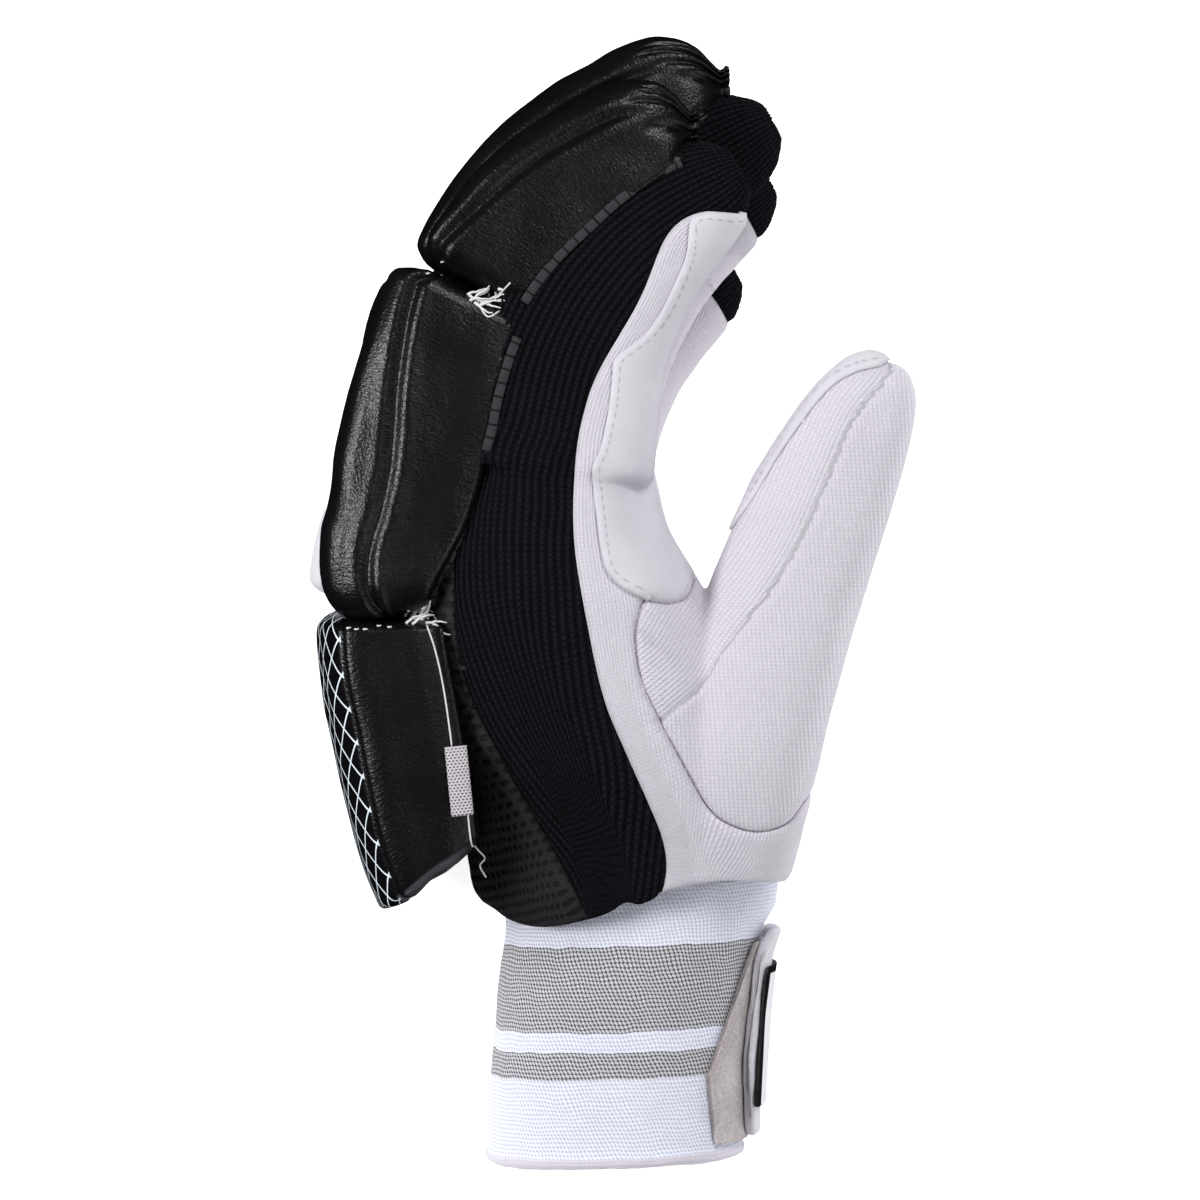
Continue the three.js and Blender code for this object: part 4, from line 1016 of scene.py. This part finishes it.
def coated_leather(name, net_edge=0, net_low=0, net_high=0):
    """Polyurethane-coated leather: nearly black, with a satin gloss and a fine grain that runs into short
    ripples across each roll. A white net may be printed between two seams, net_edge mm from the middle,
    from net_low to net_high mm along the piece."""
    material, shader = new_material(name)
    chart = node(material, "UVMap", {}, uv_map="weave")
    stretch = node(material, "Mapping", {"Vector": chart, "Scale": (0.34, 1.15, 1)})
    ripples = {"Vector": stretch, "Scale": 1 / (GRAIN * MM), "Detail": 2, "Roughness": 0.45}
    ripple = node(material, "TexNoise", {**ripples, "Distortion": 0.6})
    grain = node(material, "TexVoronoi", {"Vector": chart, "Scale": 1 / (GRAIN * MM)}, feature="F1")
    height = node(material, "Math", {0: ripple, 1: 2.2, 2: grain}, operation="MULTIPLY_ADD")
    place = node(material, "TexCoord", {}).outputs["Object"]
    worn = node(material, "TexNoise", {"Vector": place, "Scale": 60, "Detail": 4})
    mix = node(material, "Mix", {0: worn, 6: linear("#070608"), 7: linear("#100e12")}, data_type="RGBA")
    colour = mix.outputs[2]
    if net_edge:
        split = node(material, "SeparateXYZ", {0: chart})
        pitch = {0: split.outputs["X"], 1: 1 / (NET_ACROSS * MM)}
        over = node(material, "Math", pitch, operation="MULTIPLY")
        nearest = None
        for lean in (1, -1):
            slanted = {0: split.outputs["Y"], 1: lean / (NET_ALONG * MM), 2: over}
            both = node(material, "Math", slanted, operation="MULTIPLY_ADD")
            turn = node(material, "Math", {0: both, 1: 1}, operation="PINGPONG")
            if nearest is None:
                nearest = turn
            else:
                nearest = node(material, "Math", {0: nearest, 1: turn}, operation="MINIMUM")
        width = NET_LINE / 2 * math.hypot(1 / NET_ACROSS, 1 / NET_ALONG)
        thin = {"Value": nearest, "From Min": width * 1.25, "From Max": width * 0.85}
        line = node(material, "MapRange", thin)
        side = node(material, "Math", {0: split.outputs["X"]}, operation="ABSOLUTE")
        printed = node(material, "Math", {0: side, 1: (net_edge - 0.9) * MM}, operation="LESS_THAN")
        centre, half = (net_low + net_high) / 2 * MM, (net_high - net_low) / 2 * MM
        off = node(material, "Math", {0: split.outputs["Y"], 1: centre}, operation="SUBTRACT")
        away = node(material, "Math", {0: off}, operation="ABSOLUTE")
        face = node(material, "Math", {0: away, 1: half}, operation="LESS_THAN")
        area = node(material, "Math", {0: face, 1: printed}, operation="MULTIPLY")
        ink = node(material, "Math", {0: line, 1: area}, operation="MULTIPLY")
        mix = node(material, "Mix", {0: ink, 6: colour, 7: linear("#dfe9f2")}, data_type="RGBA")
        colour = mix.outputs[2]
    gloss = node(material, "MapRange", {"Value": worn, "To Min": 0.27, "To Max": 0.36})
    material.node_tree.links.new(gloss.outputs[0], shader.inputs["Roughness"])
    dress(material, shader, colour, height, 0.45, 0.14, specular=0.4)
    return material


black_leather = coated_leather("black_coated_leather")
CREASE_DEPTH, CREASE_WIDTH = 1.25, 1.5
PLEATS, PLEAT_DEPTH, PLEAT_WIDTH = 15, 1.5, 0.014  # the width is a share of the way round the roll

for finger, (knuckle, joint, dip) in zip(fingers, FINGER_ROLLS):
    line = back_line(finger)
    for part, span, table, height, lean in [
        ("tip_roll", (joint + ROLL_BREAK, TIP_ROLL_END), TIP_ROLL, TIP_ROLL_HEIGHT, 1),
        ("knuckle_roll", (knuckle, joint - ROLL_BREAK), KNUCKLE_ROLL, KNUCKLE_ROLL_HEIGHT, dip),
    ]:
        leaning = {**table, "lean": table["lean"] * lean}
        ends = (5, 0) if part == "tip_roll" else (7, 4)
        rings, ease = pad_rings(
            line, span, leaning, ROLL_SECTION, height, ROLL_WIDTH, finger["z"], 0.7, ends, 0.2, 9,
        )
        sides = rings.shape[1]
        profile = flowing(ROLL_SECTION, 9)
        around = np.concatenate([profile, profile[-2:0:-1] * [-1, 1]])
        hold = 1 if part == "knuckle_roll" else np.interp(ease, [0.72, 0.86], [1, 0])[:, None]
        from_top = (SECTION_TOP - around[:, 1])[None] / SECTION_REACH
        crease = (from_top - eased(table, ease)["crease"][:, None]) * SECTION_REACH * height
        walls = np.clip((np.abs(around[:, 0]) - 0.5) / 0.35, 0, 1)[None]
        lips = 0.4 * np.exp(-((np.abs(crease) - 3.2) / 1.8) ** 2)
        amount = hold * walls * (lips - CREASE_DEPTH * np.exp(-((crease / CREASE_WIDTH) ** 2)))
        seed = len(bpy.data.objects)
        soft, fine = ring_noise(rings, 11, (seed, 0, 0)), ring_noise(rings, 3.5, (seed, 5, 0))
        amount = amount + 0.5 * soft + 0.05 * fine
        if part == "tip_roll":
            pleats = random.Random(seed)
            turn = np.linspace(0, 1, sides, endpoint=False)
            for fold in range(PLEATS):
                centre = (fold + pleats.uniform(-0.25, 0.25)) / PLEATS
                start = pleats.uniform(0.79, 0.87)
                drift = pleats.uniform(-0.02, 0.02)
                reach = np.clip((ease - start) / (0.96 - start), 0, 1)
                off = (turn[None] - centre - drift * (1 - reach[:, None]) + 0.5) % 1 - 0.5
                amount = amount - (PLEAT_DEPTH * reach**0.8)[:, None] * np.exp(-((off / PLEAT_WIDTH) ** 2))
        rings = pushed(rings, amount)
        rings[:, :, 2] = np.maximum(rings[:, :, 2], 0)
        piece = rolled(f"{finger['name']}_{part}_cover", closed(rings))
        settle(piece, black_leather, "black_leather", f"{finger['name']}_{part}")

# The pad of the back of the hand: a wide foam block in the same leather, with a seam down each side
# where its printed top meets its plain walls, and a white knuckle insert between it and the rolls.
BACK_PAD_HEIGHT, BACK_PAD_WIDTH = 28, 92
BACK_PAD_SPAN, FLASH_SPAN = (0.035, 0.289), (0.296, 0.365)
FLASH_HEIGHT = 31.6
HAND_MIDDLE = WRIST_LOW + PALM_WIDTH / 2
BACK_SECTION = [
    (0, -0.17), (0.85, -0.17), (0.97, -0.12), (1.0, 0.02), (1.015, 0.2), (1.015, 0.42), (1.0, 0.6),
    (0.97, 0.72), (0.88, 0.8), (0.7, 0.89), (0.48, 0.96), (0.24, 1.0), (0.08, 0.985), (0, 0.93),
]
SECTION_PARTS = 5
SIDE_SEAM, VALLEY = 7 * SECTION_PARTS, 23  # points round the section from its middle
BACK_PAD = columns("at height width lean", [
    (0, 0.88, 0.9, 30), (0.04, 0.94, 0.915, 29), (0.2, 1.0, 0.94, 22), (0.4, 1.02, 0.97, 14),
    (0.65, 1.02, 0.99, 5), (0.95, 1.0, 1, -5), (1, 0.96, 0.99, -7),
])
FLASH = columns("at height width lean", [
    (0, 0.95, 0.98, -6), (0.12, 0.97, 1, -6), (0.88, 0.97, 1, -2), (1, 0.95, 0.98, -2),
])
line = back_line(fingers[2])
rings, ease = pad_rings(
    line, BACK_PAD_SPAN, BACK_PAD, BACK_SECTION, BACK_PAD_HEIGHT, BACK_PAD_WIDTH, HAND_MIDDLE, 0.8, (4, 4),
)
sides = rings.shape[1]
crease = from_crease(sides, [SIDE_SEAM, sides - SIDE_SEAM])
valley = np.exp(-((from_crease(sides, [VALLEY, sides - VALLEY]) / 5) ** 2))
rings = pushed(rings, (-0.9 * np.exp(-crease) - 0.8 * valley)[None] + 0.5 * ring_noise(rings, 14))
rings[:, :, 2] = np.maximum(rings[:, :, 2], 0)
widest = rings[np.argmax(np.linalg.norm(np.diff(rings, axis=1), axis=2).sum(axis=1))]
turn = np.linalg.norm(np.diff(widest, axis=0), axis=1)
cap = np.linalg.norm(rings[0] - rings[0].mean(axis=0), axis=1).mean()
run = np.linalg.norm(np.diff(rings, axis=0), axis=2).mean(axis=1).sum()
net_edge = turn[SIDE_SEAM:sides // 2].sum()
net_leather = coated_leather("black_leather_with_printed_net", net_edge, cap + 1.5, cap + run - 2)
back_pad = rolled("back_pad_cover", closed(rings))
settle(back_pad, net_leather, "black_leather", "back_pad")

rings, ease = pad_rings(
    line, FLASH_SPAN, FLASH, BACK_SECTION, FLASH_HEIGHT, FINGER_PITCH * 3 - 0.7, fingers[1]["z"], 0.7, (3, 3),
)
rings[:, :, 2] = np.maximum(rings[:, :, 2], 0)
flash = rolled("knuckle_flash_cover", closed(rings))
settle(flash, white_leather, "white_leather", "knuckle_flash")

# The cuff: a tube of wide knitted elastic, tucked into the glove's mouth and turned up into a hem at
# its free end. Two grey stripes are knitted into it.
CUFF_LENGTH, CUFF_DEPTH, CUFF_WIDTH = 70, 67, 66
CUFF_WALL = 2.6
CUFF_LIFT = 2.2
CUFF_TILT = math.tan(math.radians(1.8))
CUFF_POWER = 2.3  # how square the cuff is
CUFF_TUCK = 0.2  # share of the cuff's length that lies inside the glove
CUFF_MIDDLE = CUFF_LIFT + CUFF_WIDTH / 2
RIM_Y = PALM_BOTTOM - 4.5
CUFF = columns("at back front swell", [
    (0, -0.372, 0.64, 0), (0.1, -0.378, 0.63, 0), (0.2, -0.385, 0.58, 0), (0.3, -0.398, 0.55, 0),
    (0.5, -0.42, 0.526, 0), (0.95, -0.445, 0.5, 0), (0.965, -0.445, 0.5, 0.3), (1, -0.442, 0.499, 0.25),
])


def cuff_rings(shares, grow, sides=200):
    """Rings of the cuff at shares of its length, each grown outwards by some mm"""
    row = eased(CUFF, shares)
    rings = []
    for i, share in enumerate(shares):
        g = grow[i] + row["swell"][i] * CUFF_WALL
        back, front = row["back"][i] * CUFF_DEPTH - g, row["front"][i] * CUFF_DEPTH + g
        half = (front - back) / 2
        centre = (WRIST_X + (back + front) / 2, RIM_Y + CUFF_LENGTH * (CUFF_TUCK - share), CUFF_MIDDLE)
        across, up = (half, half * CUFF_TILT, 0), (0, 0, CUFF_WIDTH / 2 + g)
        rings.append(ring(centre, across, up, CUFF_POWER, CUFF_POWER, sides))
    return rings


CUFF_ROWS = 90
outer = np.linspace(0, 1, CUFF_ROWS)
shares = np.concatenate([outer, outer[::-1], outer[:1]])
grow = np.concatenate([np.zeros(CUFF_ROWS), np.full(CUFF_ROWS, -CUFF_WALL), [0]])
grow[CUFF_ROWS - 1], grow[CUFF_ROWS] = -0.5, -2.1  # the rounded edge
cuff = rolled("cuff_elastic", cuff_rings(shares, grow))
LOOP_WIDE, LOOP_TALL = 1.05, 1.0
GREY_STRIPES = ((16.2, 37.4), (42.3, 49.0))  # mm along the cuff
STRIPE_SHIFT = 0.0006  # metres by which the drawn loops move them
elastic, shader = new_material("white_knitted_elastic")
# Knitted elastic: rows of short slanted loops, open and shadowed in the grey stripes, dense and soft in the
# white ones. The gaps between the loops are painted darker as shade, deeply in the grey stripes and faintly
# in the white ones
chart = node(elastic, "UVMap", {}, uv_map="weave")
place = node(elastic, "TexCoord", {}).outputs["Object"]
pull = node(elastic, "TexNoise", {"Vector": place, "Scale": 130, "Detail": 2})
uneven = {0: pull.outputs["Color"], 1: (0.0013, 0.0016, 0), 2: chart}
drawn = node(elastic, "VectorMath", uneven, operation="MULTIPLY_ADD")
loop = cells(elastic, drawn, LOOP_WIDE, LOOP_TALL, slant=0.8, squash=0.9)
fibres = {"Vector": place, "Scale": 1 / (0.35 * MM), "Detail": 3, "Roughness": 0.6}
fibre = node(elastic, "TexNoise", fibres)
rough = node(elastic, "Math", {0: fibre, 1: 0.35, 2: loop}, operation="MULTIPLY_ADD")
rim = {"Value": rough, "From Min": 0.42, "From Max": 0.72}
loop_gap_shade = node(elastic, "MapRange", rim, interpolation_type="SMOOTHSTEP")
split = node(elastic, "SeparateXYZ", {0: drawn})
stripes = None
for low, high in GREY_STRIPES:
    middle_of, half = (low + high) / 2 * MM, (high - low) / 2 * MM
    away = node(elastic, "Math", {0: split.outputs["Y"], 1: middle_of + STRIPE_SHIFT}, operation="SUBTRACT")
    away = node(elastic, "Math", {0: away}, operation="ABSOLUTE")
    one = node(elastic, "Math", {0: away, 1: half}, operation="LESS_THAN")
    stripes = node(elastic, "Math", {0: stripes, 1: one}, operation="MAXIMUM") if stripes else one
grey = node(elastic, "Mix", {0: loop_gap_shade, 6: linear("#d2d1d6"), 7: linear("#5c5b60")}, data_type="RGBA")
white = node(elastic, "Mix", {0: loop_gap_shade, 6: linear("#f0f2fb"), 7: linear("#c9cbe0")}, data_type="RGBA")
both = node(elastic, "Mix", {0: stripes, 6: white.outputs[2], 7: grey.outputs[2]}, data_type="RGBA")
# A painted shadow: a darker, violet band along the turned-up hem at the cuff's free end
hem = node(elastic, "MapRange", {"Value": split.outputs["Y"], "From Min": 0.0688, "From Max": 0.0696})
mix = node(elastic, "Mix", {0: hem, 6: both.outputs[2], 7: linear("#d6d0da")}, data_type="RGBA")
raised = node(elastic, "Math", {0: rough, 1: -1}, operation="MULTIPLY")
dress(elastic, shader, mix.outputs[2], raised, 0.6, 0.5, roughness=0.95, specular=0.15)
finish_with(cuff, "SUBSURF", levels=1, render_levels=1)
points = points_of(cuff)
swell(cuff, 0.5 * rumple(points, 15, 21) + 0.16 * rumple(points, 3, 22))
settle(cuff, elastic, "white_elastic", "cuff")


# The strap: the cuff is closed by a loop-pile strip sewn round it and a stiffer tab that presses onto it,
# with a plain badge on its face. The pile is worn to a dusty pink-grey and fuzzy at its edges, but here its
# fuzz is only a rough relief over the whole strip.
STRAP_PLACE = 0.215  # share of the cuff's length at which the strap begins
STRAP_TOP = RIM_Y + CUFF_LENGTH * (CUFF_TUCK - STRAP_PLACE)
STRAP_HEIGHT, STRAP_BASE_THICKNESS, STRAP_TAB_THICKNESS = 50, 1.6, 2.6
SEAT_GAP = 0.35  # mm between the strap's layers
STRAP_BASE_EDGE = np.array([(0.385, 0), (0.36, 0.34), (0.53, 0.95), (0.54, 1)])
STRAP_TAB_EDGE = np.array([(0.505, 0), (0.495, 0.4), (0.54, 0.9), (0.57, 1)])


def cuff_at(y, angle, grow):
    """A point on the cuff's outer face, grown outwards, at a height along it and an angle round it"""
    row = eased(CUFF, CUFF_TUCK - (y - RIM_Y) / CUFF_LENGTH)
    back, front = row["back"] * CUFF_DEPTH - grow, row["front"] * CUFF_DEPTH + grow
    half = (front - back) / 2
    c, s = to_power(np.cos(angle), 2 / CUFF_POWER), to_power(np.sin(angle), 2 / CUFF_POWER)
    x = WRIST_X + (back + front) / 2 + half * c
    z = CUFF_MIDDLE + s * (CUFF_WIDTH / 2 + grow)
    return np.stack([x, y + half * c * CUFF_TILT, z], axis=-1)


def angle_of(y, across, grow):
    """The angle on the cuff's upper half at which it lies a share of its depth from the wrist's line"""
    row = eased(CUFF, CUFF_TUCK - (y - RIM_Y) / CUFF_LENGTH)
    middle, half = (row["back"] + row["front"]) / 2, (row["front"] - row["back"]) / 2 + grow / CUFF_DEPTH
    c = np.clip((across - middle) / half, -0.98, 0.98)
    return np.arccos(to_power(c, CUFF_POWER / 2))


def band(name, start, end, low, high, grow, thickness, corner, spacing=0.8):
    """A strip that lies round the cuff from one angle to another, with rounded edges and corners"""
    steps = int(abs(np.max(end(np.array([low, high])) - start(np.array([low, high])))) * 36 / spacing)
    rows = int((high - low) / spacing)
    edge = np.linspace(0, np.pi, 7)[1:-1]
    flat, face = np.ones(len(edge)), np.ones(rows)
    slope = np.linspace(-1, 1, rows)
    up = np.concatenate([slope, flat, np.linspace(1, -1, rows), -flat])
    out = np.concatenate([face, np.cos(edge), -face, -np.cos(edge)])
    bulge = np.concatenate([0 * face, np.sin(edge), 0 * face, -np.sin(edge)]) * thickness / 2
    rings = []
    for i in range(steps + 1):
        share = i / steps
        inward = min(i, steps - i) * spacing
        cut = corner * (1 - math.sqrt(1 - (1 - min(inward / corner, 1)) ** 2))
        thin = 0.45 + 0.55 * math.sqrt(1 - (1 - min(inward / (thickness / 2), 1)) ** 2)
        y = (low + high) / 2 + up * ((high - low) / 2 - cut) + bulge
        angle = start(y) + share * (end(y) - start(y))
        rings.append(cuff_at(y, angle, grow + thickness / 2 + out * thickness / 2 * thin))
    return rolled(name, closed(rings))


def loop_pile(name, light, shade):
    """Fine loops brushed up from a knitted strip: soft, matt and uneven"""
    material, shader = new_material(name)
    place = node(material, "TexCoord", {}).outputs["Object"]
    loops = {"Vector": place, "Scale": 1 / (0.7 * MM), "Detail": 4, "Roughness": 0.7, "Distortion": 1.2}
    curls = node(material, "TexNoise", loops)
    worn = node(material, "TexNoise", {"Vector": place, "Scale": 70, "Detail": 3})
    tone = node(material, "Math", {0: worn, 1: 0.5, 2: curls}, operation="MULTIPLY_ADD")
    ramp = node(material, "MapRange", {"Value": tone, "From Min": 0.5, "From Max": 0.95})
    # The colour is darkest in the hollows of the loops and lightest on their tops: painted shade and painted
    # light, mixed with a random worn tone
    mix = node(material, "Mix", {0: ramp, 6: linear(shade), 7: linear(light)}, data_type="RGBA")
    dress(material, shader, mix.outputs[2], curls, 0.9, 0.6, roughness=1.0, specular=0.1)
    shader.inputs["Sheen Weight"].default_value = 0.3
    shader.inputs["Sheen Roughness"].default_value = 0.5
    return material


def strap_edge(table, grow, side):
    """The angle of a strap's end at each height, on the cuff's upper side (1) or its lower one (-1)"""

    def angle(y):
        share = (y - STRAP_TOP + STRAP_HEIGHT) / STRAP_HEIGHT
        return side * angle_of(y, np.interp(share, table[:, 1], table[:, 0]), grow)

    return angle


pile = loop_pile("pink_grey_loop_pile", "#ded5d5", "#948988")
return_edge = np.array([(-0.05, 0), (-0.05, 1)])
strap_base = band(
    "strap_base_pile", strap_edge(STRAP_BASE_EDGE, SEAT_GAP, 1), strap_edge(return_edge, SEAT_GAP, -1),
    STRAP_TOP - STRAP_HEIGHT, STRAP_TOP - 2.5, SEAT_GAP, STRAP_BASE_THICKNESS, 2.0,
)
points = points_of(strap_base)
swell(strap_base, 0.22 * rumple(points, 1.5, 31) + 0.3 * rumple(points, 6, 32))
settle(strap_base, pile, "loop_strip", "strap_base")

felted = loop_pile("pale_felted_nylon", "#ebe8ef", "#cfc9d2")
tab_grow = 2 * SEAT_GAP + STRAP_BASE_THICKNESS
strap_tab = band(
    "strap_tab_felt", strap_edge(STRAP_TAB_EDGE, tab_grow, 1), strap_edge(STRAP_TAB_EDGE, tab_grow, -1),
    STRAP_TOP - STRAP_HEIGHT + 1, STRAP_TOP, tab_grow, STRAP_TAB_THICKNESS, 4.0,
)
points = points_of(strap_tab)
swell(strap_tab, 0.12 * rumple(points, 1.6, 33) + 0.35 * rumple(points, 7, 34))
settle(strap_tab, felted, "loop_strip", "strap_tab")

# The badge on the tab: a plain square of white leather, bound in black, left without any mark
PATCH_HEIGHT, PATCH_WIDTH, PATCH_THICKNESS = 34, 30, 0.8
patch_grow = tab_grow + STRAP_TAB_THICKNESS + SEAT_GAP
reach = math.asin((PATCH_WIDTH / CUFF_WIDTH) ** (CUFF_POWER / 2))
badge_leather, shader = new_material("white_leather_bound_in_black")
# Smooth white leather with a folded black edge
place = node(badge_leather, "TexCoord", {}).outputs["Object"]
split = node(badge_leather, "SeparateXYZ", {0: place})
bound = None
for axis, centre, half in [
    ("Y", STRAP_TOP - STRAP_HEIGHT / 2, PATCH_HEIGHT / 2 - 0.3),
    ("Z", CUFF_MIDDLE, PATCH_WIDTH / 2 - 0.1),
]:
    off = node(badge_leather, "Math", {0: split.outputs[axis], 1: centre * MM}, operation="SUBTRACT")
    off = node(badge_leather, "Math", {0: off}, operation="ABSOLUTE")
    one = node(badge_leather, "Math", {0: off, 1: half * MM}, operation="GREATER_THAN")
    bound = node(badge_leather, "Math", {0: bound, 1: one}, operation="MAXIMUM") if bound else one
grain = node(badge_leather, "TexNoise", {"Vector": place, "Scale": 1 / (0.8 * MM), "Detail": 4})
mix = node(badge_leather, "Mix", {0: bound, 6: linear("#eeeef2"), 7: linear("#151416")}, data_type="RGBA")
dress(badge_leather, shader, mix.outputs[2], grain, 0.3, 0.2, roughness=0.45)
badge = band(
    "strap_badge", lambda y: reach + 0 * y, lambda y: -reach + 0 * y,
    STRAP_TOP - (STRAP_HEIGHT + PATCH_HEIGHT) / 2, STRAP_TOP - (STRAP_HEIGHT - PATCH_HEIGHT) / 2,
    patch_grow, PATCH_THICKNESS, 1.5,
)
swell(badge, 0.25 * rumple(points_of(badge), 12, 35))
settle(badge, badge_leather, "white_leather", "strap_patch")

# The welts: where each padded roll is sewn down, the raw edge of its felt lining stands out beside the knit
# as a thin dark grey strip, with a row of needle holes. Only the index finger's two welts are made here.
WELT_WIDTH, WELT_THICKNESS = 2.3, 0.9
WELT_HOLES = 3.4  # mm between the needle holes
felt, shader = new_material("grey_needled_felt")
# Pressed felt: dull grey and hairy, pierced by black stitches
chart = node(felt, "UVMap", {}, uv_map="weave")
place = node(felt, "TexCoord", {}).outputs["Object"]
split = node(felt, "SeparateXYZ", {0: chart})
stitch = wave_of(felt, split.outputs["Y"], WELT_HOLES)
hole = node(felt, "MapRange", {"Value": stitch, "From Min": 0.9, "From Max": 0.98})
hairs = {"Vector": place, "Scale": 1 / (0.5 * MM), "Detail": 4, "Roughness": 0.7}
hair = node(felt, "TexNoise", hairs)
mix = node(felt, "Mix", {0: hair, 6: linear("#141416"), 7: linear("#4a494e")}, data_type="RGBA")
dark = node(felt, "Mix", {0: hole, 6: mix.outputs[2], 7: linear("#050506")}, data_type="RGBA")
dress(felt, shader, dark.outputs[2], hair, 0.8, 0.5, roughness=1.0)


def top_of(pieces, x, y, otherwise):
    """The height in mm of the highest of some pieces over a point"""
    found = otherwise
    for piece in pieces:
        hit, place_hit, *rest = piece.ray_cast((x * MM, y * MM, 0.3), (0, 0, -1))
        if hit:
            found = max(found, place_hit[2] / MM)
    return found


def tube(name, path, width, thickness, sides=10):
    """A round or flat cord along points, width wide seen from above"""
    path = np.array(path, float)
    run = np.gradient(path, axis=0)
    run /= np.linalg.norm(run, axis=1, keepdims=True)
    aside = np.cross(run, (0, 0, 1))
    aside /= np.maximum(np.linalg.norm(aside, axis=1, keepdims=True), 1e-6)
    over = np.cross(aside, run)
    turn = np.linspace(0, 2 * np.pi, sides, endpoint=False)
    wide = np.broadcast_to(width, len(path))[:, None, None]
    flat = aside[:, None] * np.cos(turn)[None, :, None] * wide / 2
    tall = over[:, None] * np.sin(turn)[None, :, None] * thickness / 2
    return rolled(name, closed(path[:, None] + flat + tall))


line = back_line(fingers[3])
knuckle, joint, dip = FINGER_ROLLS[3]
knuckle_feet = ([knuckle + 0.005, 0.42, 0.52, joint - 0.012], [2.2, 5.2, 8.6, 9.5])
tip_feet = ([joint + 0.012, 0.8, 0.95, 0.955], [7.4, 8.6, 5.0, 5.0])
# each welt's distance in mm from the back line, at shares of that line
for name, (marks, feet) in [("knuckle_welt", knuckle_feet), ("tip_welt", tip_feet)]:
    path = []
    for share in np.linspace(marks[0], marks[-1], 90):
        at = line[1][-1] * share
        base, ahead = at_length(line, at), at_length(line, at + 0.5)
        tangent = (ahead - base) / np.linalg.norm(ahead - base)
        spot = base - np.array([-tangent[1], tangent[0]]) * np.interp(share, marks, feet)
        path.append((*spot, top_of([panels["index_knit"], panels["back_mesh"]], *spot, 84)))
    path = flowing(path[::6], 6)
    path[:, 2] += 0.5 + 0.15 * np.sin(np.arange(len(path)) * 0.9)
    welt = tube(f"index_{name}", path, WELT_WIDTH, WELT_THICKNESS)
    settle(welt, felt, "black_leather")

# The label and the loose threads: a short folded ribbon caught in the pad's side seam, the white
# thread of the seam itself, and frayed ends where the rolls were tied off.
LABEL_PITCH = 0.72  # mm between the ribbon's threads
ribbon, shader = new_material("grey_woven_ribbon")
# Woven polyester: an open plain weave of pale threads, with the gaps between them painted dark as shade
chart = node(ribbon, "UVMap", {}, uv_map="weave")
gap = cells(ribbon, chart, LABEL_PITCH * 1.3, LABEL_PITCH)
rim = {"Value": gap, "From Min": 0.18, "From Max": 0.36}
thread = node(ribbon, "MapRange", rim, interpolation_type="SMOOTHSTEP")
mix = node(ribbon, "Mix", {0: thread, 6: linear("#4a464a"), 7: linear("#c4bec3")}, data_type="RGBA")
dress(ribbon, shader, mix.outputs[2], thread, 0.6, 0.25, roughness=0.7)
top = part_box("side_label")[1][2] / MM
LABEL_WIDTH, LABEL_THICKNESS = 5.4, 1.3
t = np.linspace(0, 1, 24)
path = np.stack([-16.4 + 1.7 * t, -34.4 - 16.6 * t, top + 0.3 + 0.25 * np.sin(3 * t)], axis=1)
label = tube("folded_side_label", path, LABEL_WIDTH, LABEL_THICKNESS, 16)
settle(label, ribbon, "grey_ribbon", "side_label")

strand_cotton, shader = new_material("white_spun_cotton")
# Spun cotton thread: white, matt and a little hairy
place = node(strand_cotton, "TexCoord", {}).outputs["Object"]
hair = node(strand_cotton, "TexNoise", {"Vector": place, "Scale": 1 / (0.3 * MM), "Detail": 3})
mix = node(strand_cotton, "Mix", {0: hair, 6: linear("#bdb9b9"), 7: linear("#fbfaf8")}, data_type="RGBA")
strand_cotton.node_tree.links.new(mix.outputs[2], shader.inputs["Base Color"])
shader.inputs["Roughness"].default_value = 0.9

index_rolls = [bpy.data.objects[f"index_{part}_roll_cover"] for part in ("knuckle", "tip")]
under = [panels["index_knit"], panels["back_mesh"], back_pad, *index_rolls]
SEAM_THREAD = 0.42
FRAY_STEP = 0.75  # mm


def laid(marks, lift=0.2):
    """A thread's path over the pieces beneath it"""
    return [(x, y, top_of(under, x, y, 70) + lift) for x, y in flowing(marks, 5)]


strands = []
for marks in [
    [(-23.3, -5.4), (-21.6, -10.2), (-20, -16.7), (-18.8, -23.4), (-17.8, -30.6), (-17.3, -34.4)],
    [(-13.5, -51), (-13, -55.8), (-12.3, -59.4), (-9.9, -62.3), (-11.1, -64.2), (-9.6, -67.1)],
    [(-6.5, 73.1), (-4.6, 75), (-3.2, 76.4)],
    [(-11.1, 71.9), (-8.7, 68.3), (-5.8, 69.7)],
]:
    strands.append(tube("seam_thread", laid(marks), SEAM_THREAD, SEAM_THREAD, 6))
loose = random.Random(5)
for centre, aim, count in [
    ((-12, 72.6), 0.15, 9), ((-7.7, 73.6), 0.3, 12), ((-26.7, -3.7), 1.2, 13), ((-23.3, -4.7), -0.6, 6),
]:
    for i in range(count):
        heading = aim + loose.uniform(-0.9, 0.9)
        x, y = centre[0] + loose.uniform(-2.2, 2.2), centre[1] + loose.uniform(-1.6, 1.6)
        height = top_of(under, x, y, 84) + loose.uniform(0.0, 0.8)
        path = []
        for step in range(8):
            path.append((x, y, height))
            heading += loose.uniform(-0.45, 0.45)
            x += FRAY_STEP * math.cos(heading)
            y += FRAY_STEP * math.sin(heading)
            height += loose.uniform(-0.25, 0.2)
        strands.append(tube("frayed_end", path, np.linspace(0.75, 0.3, 8), 0.35, 6))
for x, y in [
    (-42, -6.1), (-40.1, -6.4), (-38, -6.4), (-34.8, -5.6), (-32.2, -5.9), (-19.5, 81.7), (-23.1, 78.8),
]:
    height = top_of(under, x, y, 84) + 0.15
    path = [(x - 0.5, y, height - 0.1), (x, y, height + 0.1), (x + 0.5, y + 0.1, height - 0.1)]
    strands.append(tube("stitch", path, 0.45, 0.4, 6))
threads = joined("loose_threads", strands)
threads.data.name = "loose_threads"
settle(threads, strand_cotton, "white_leather")
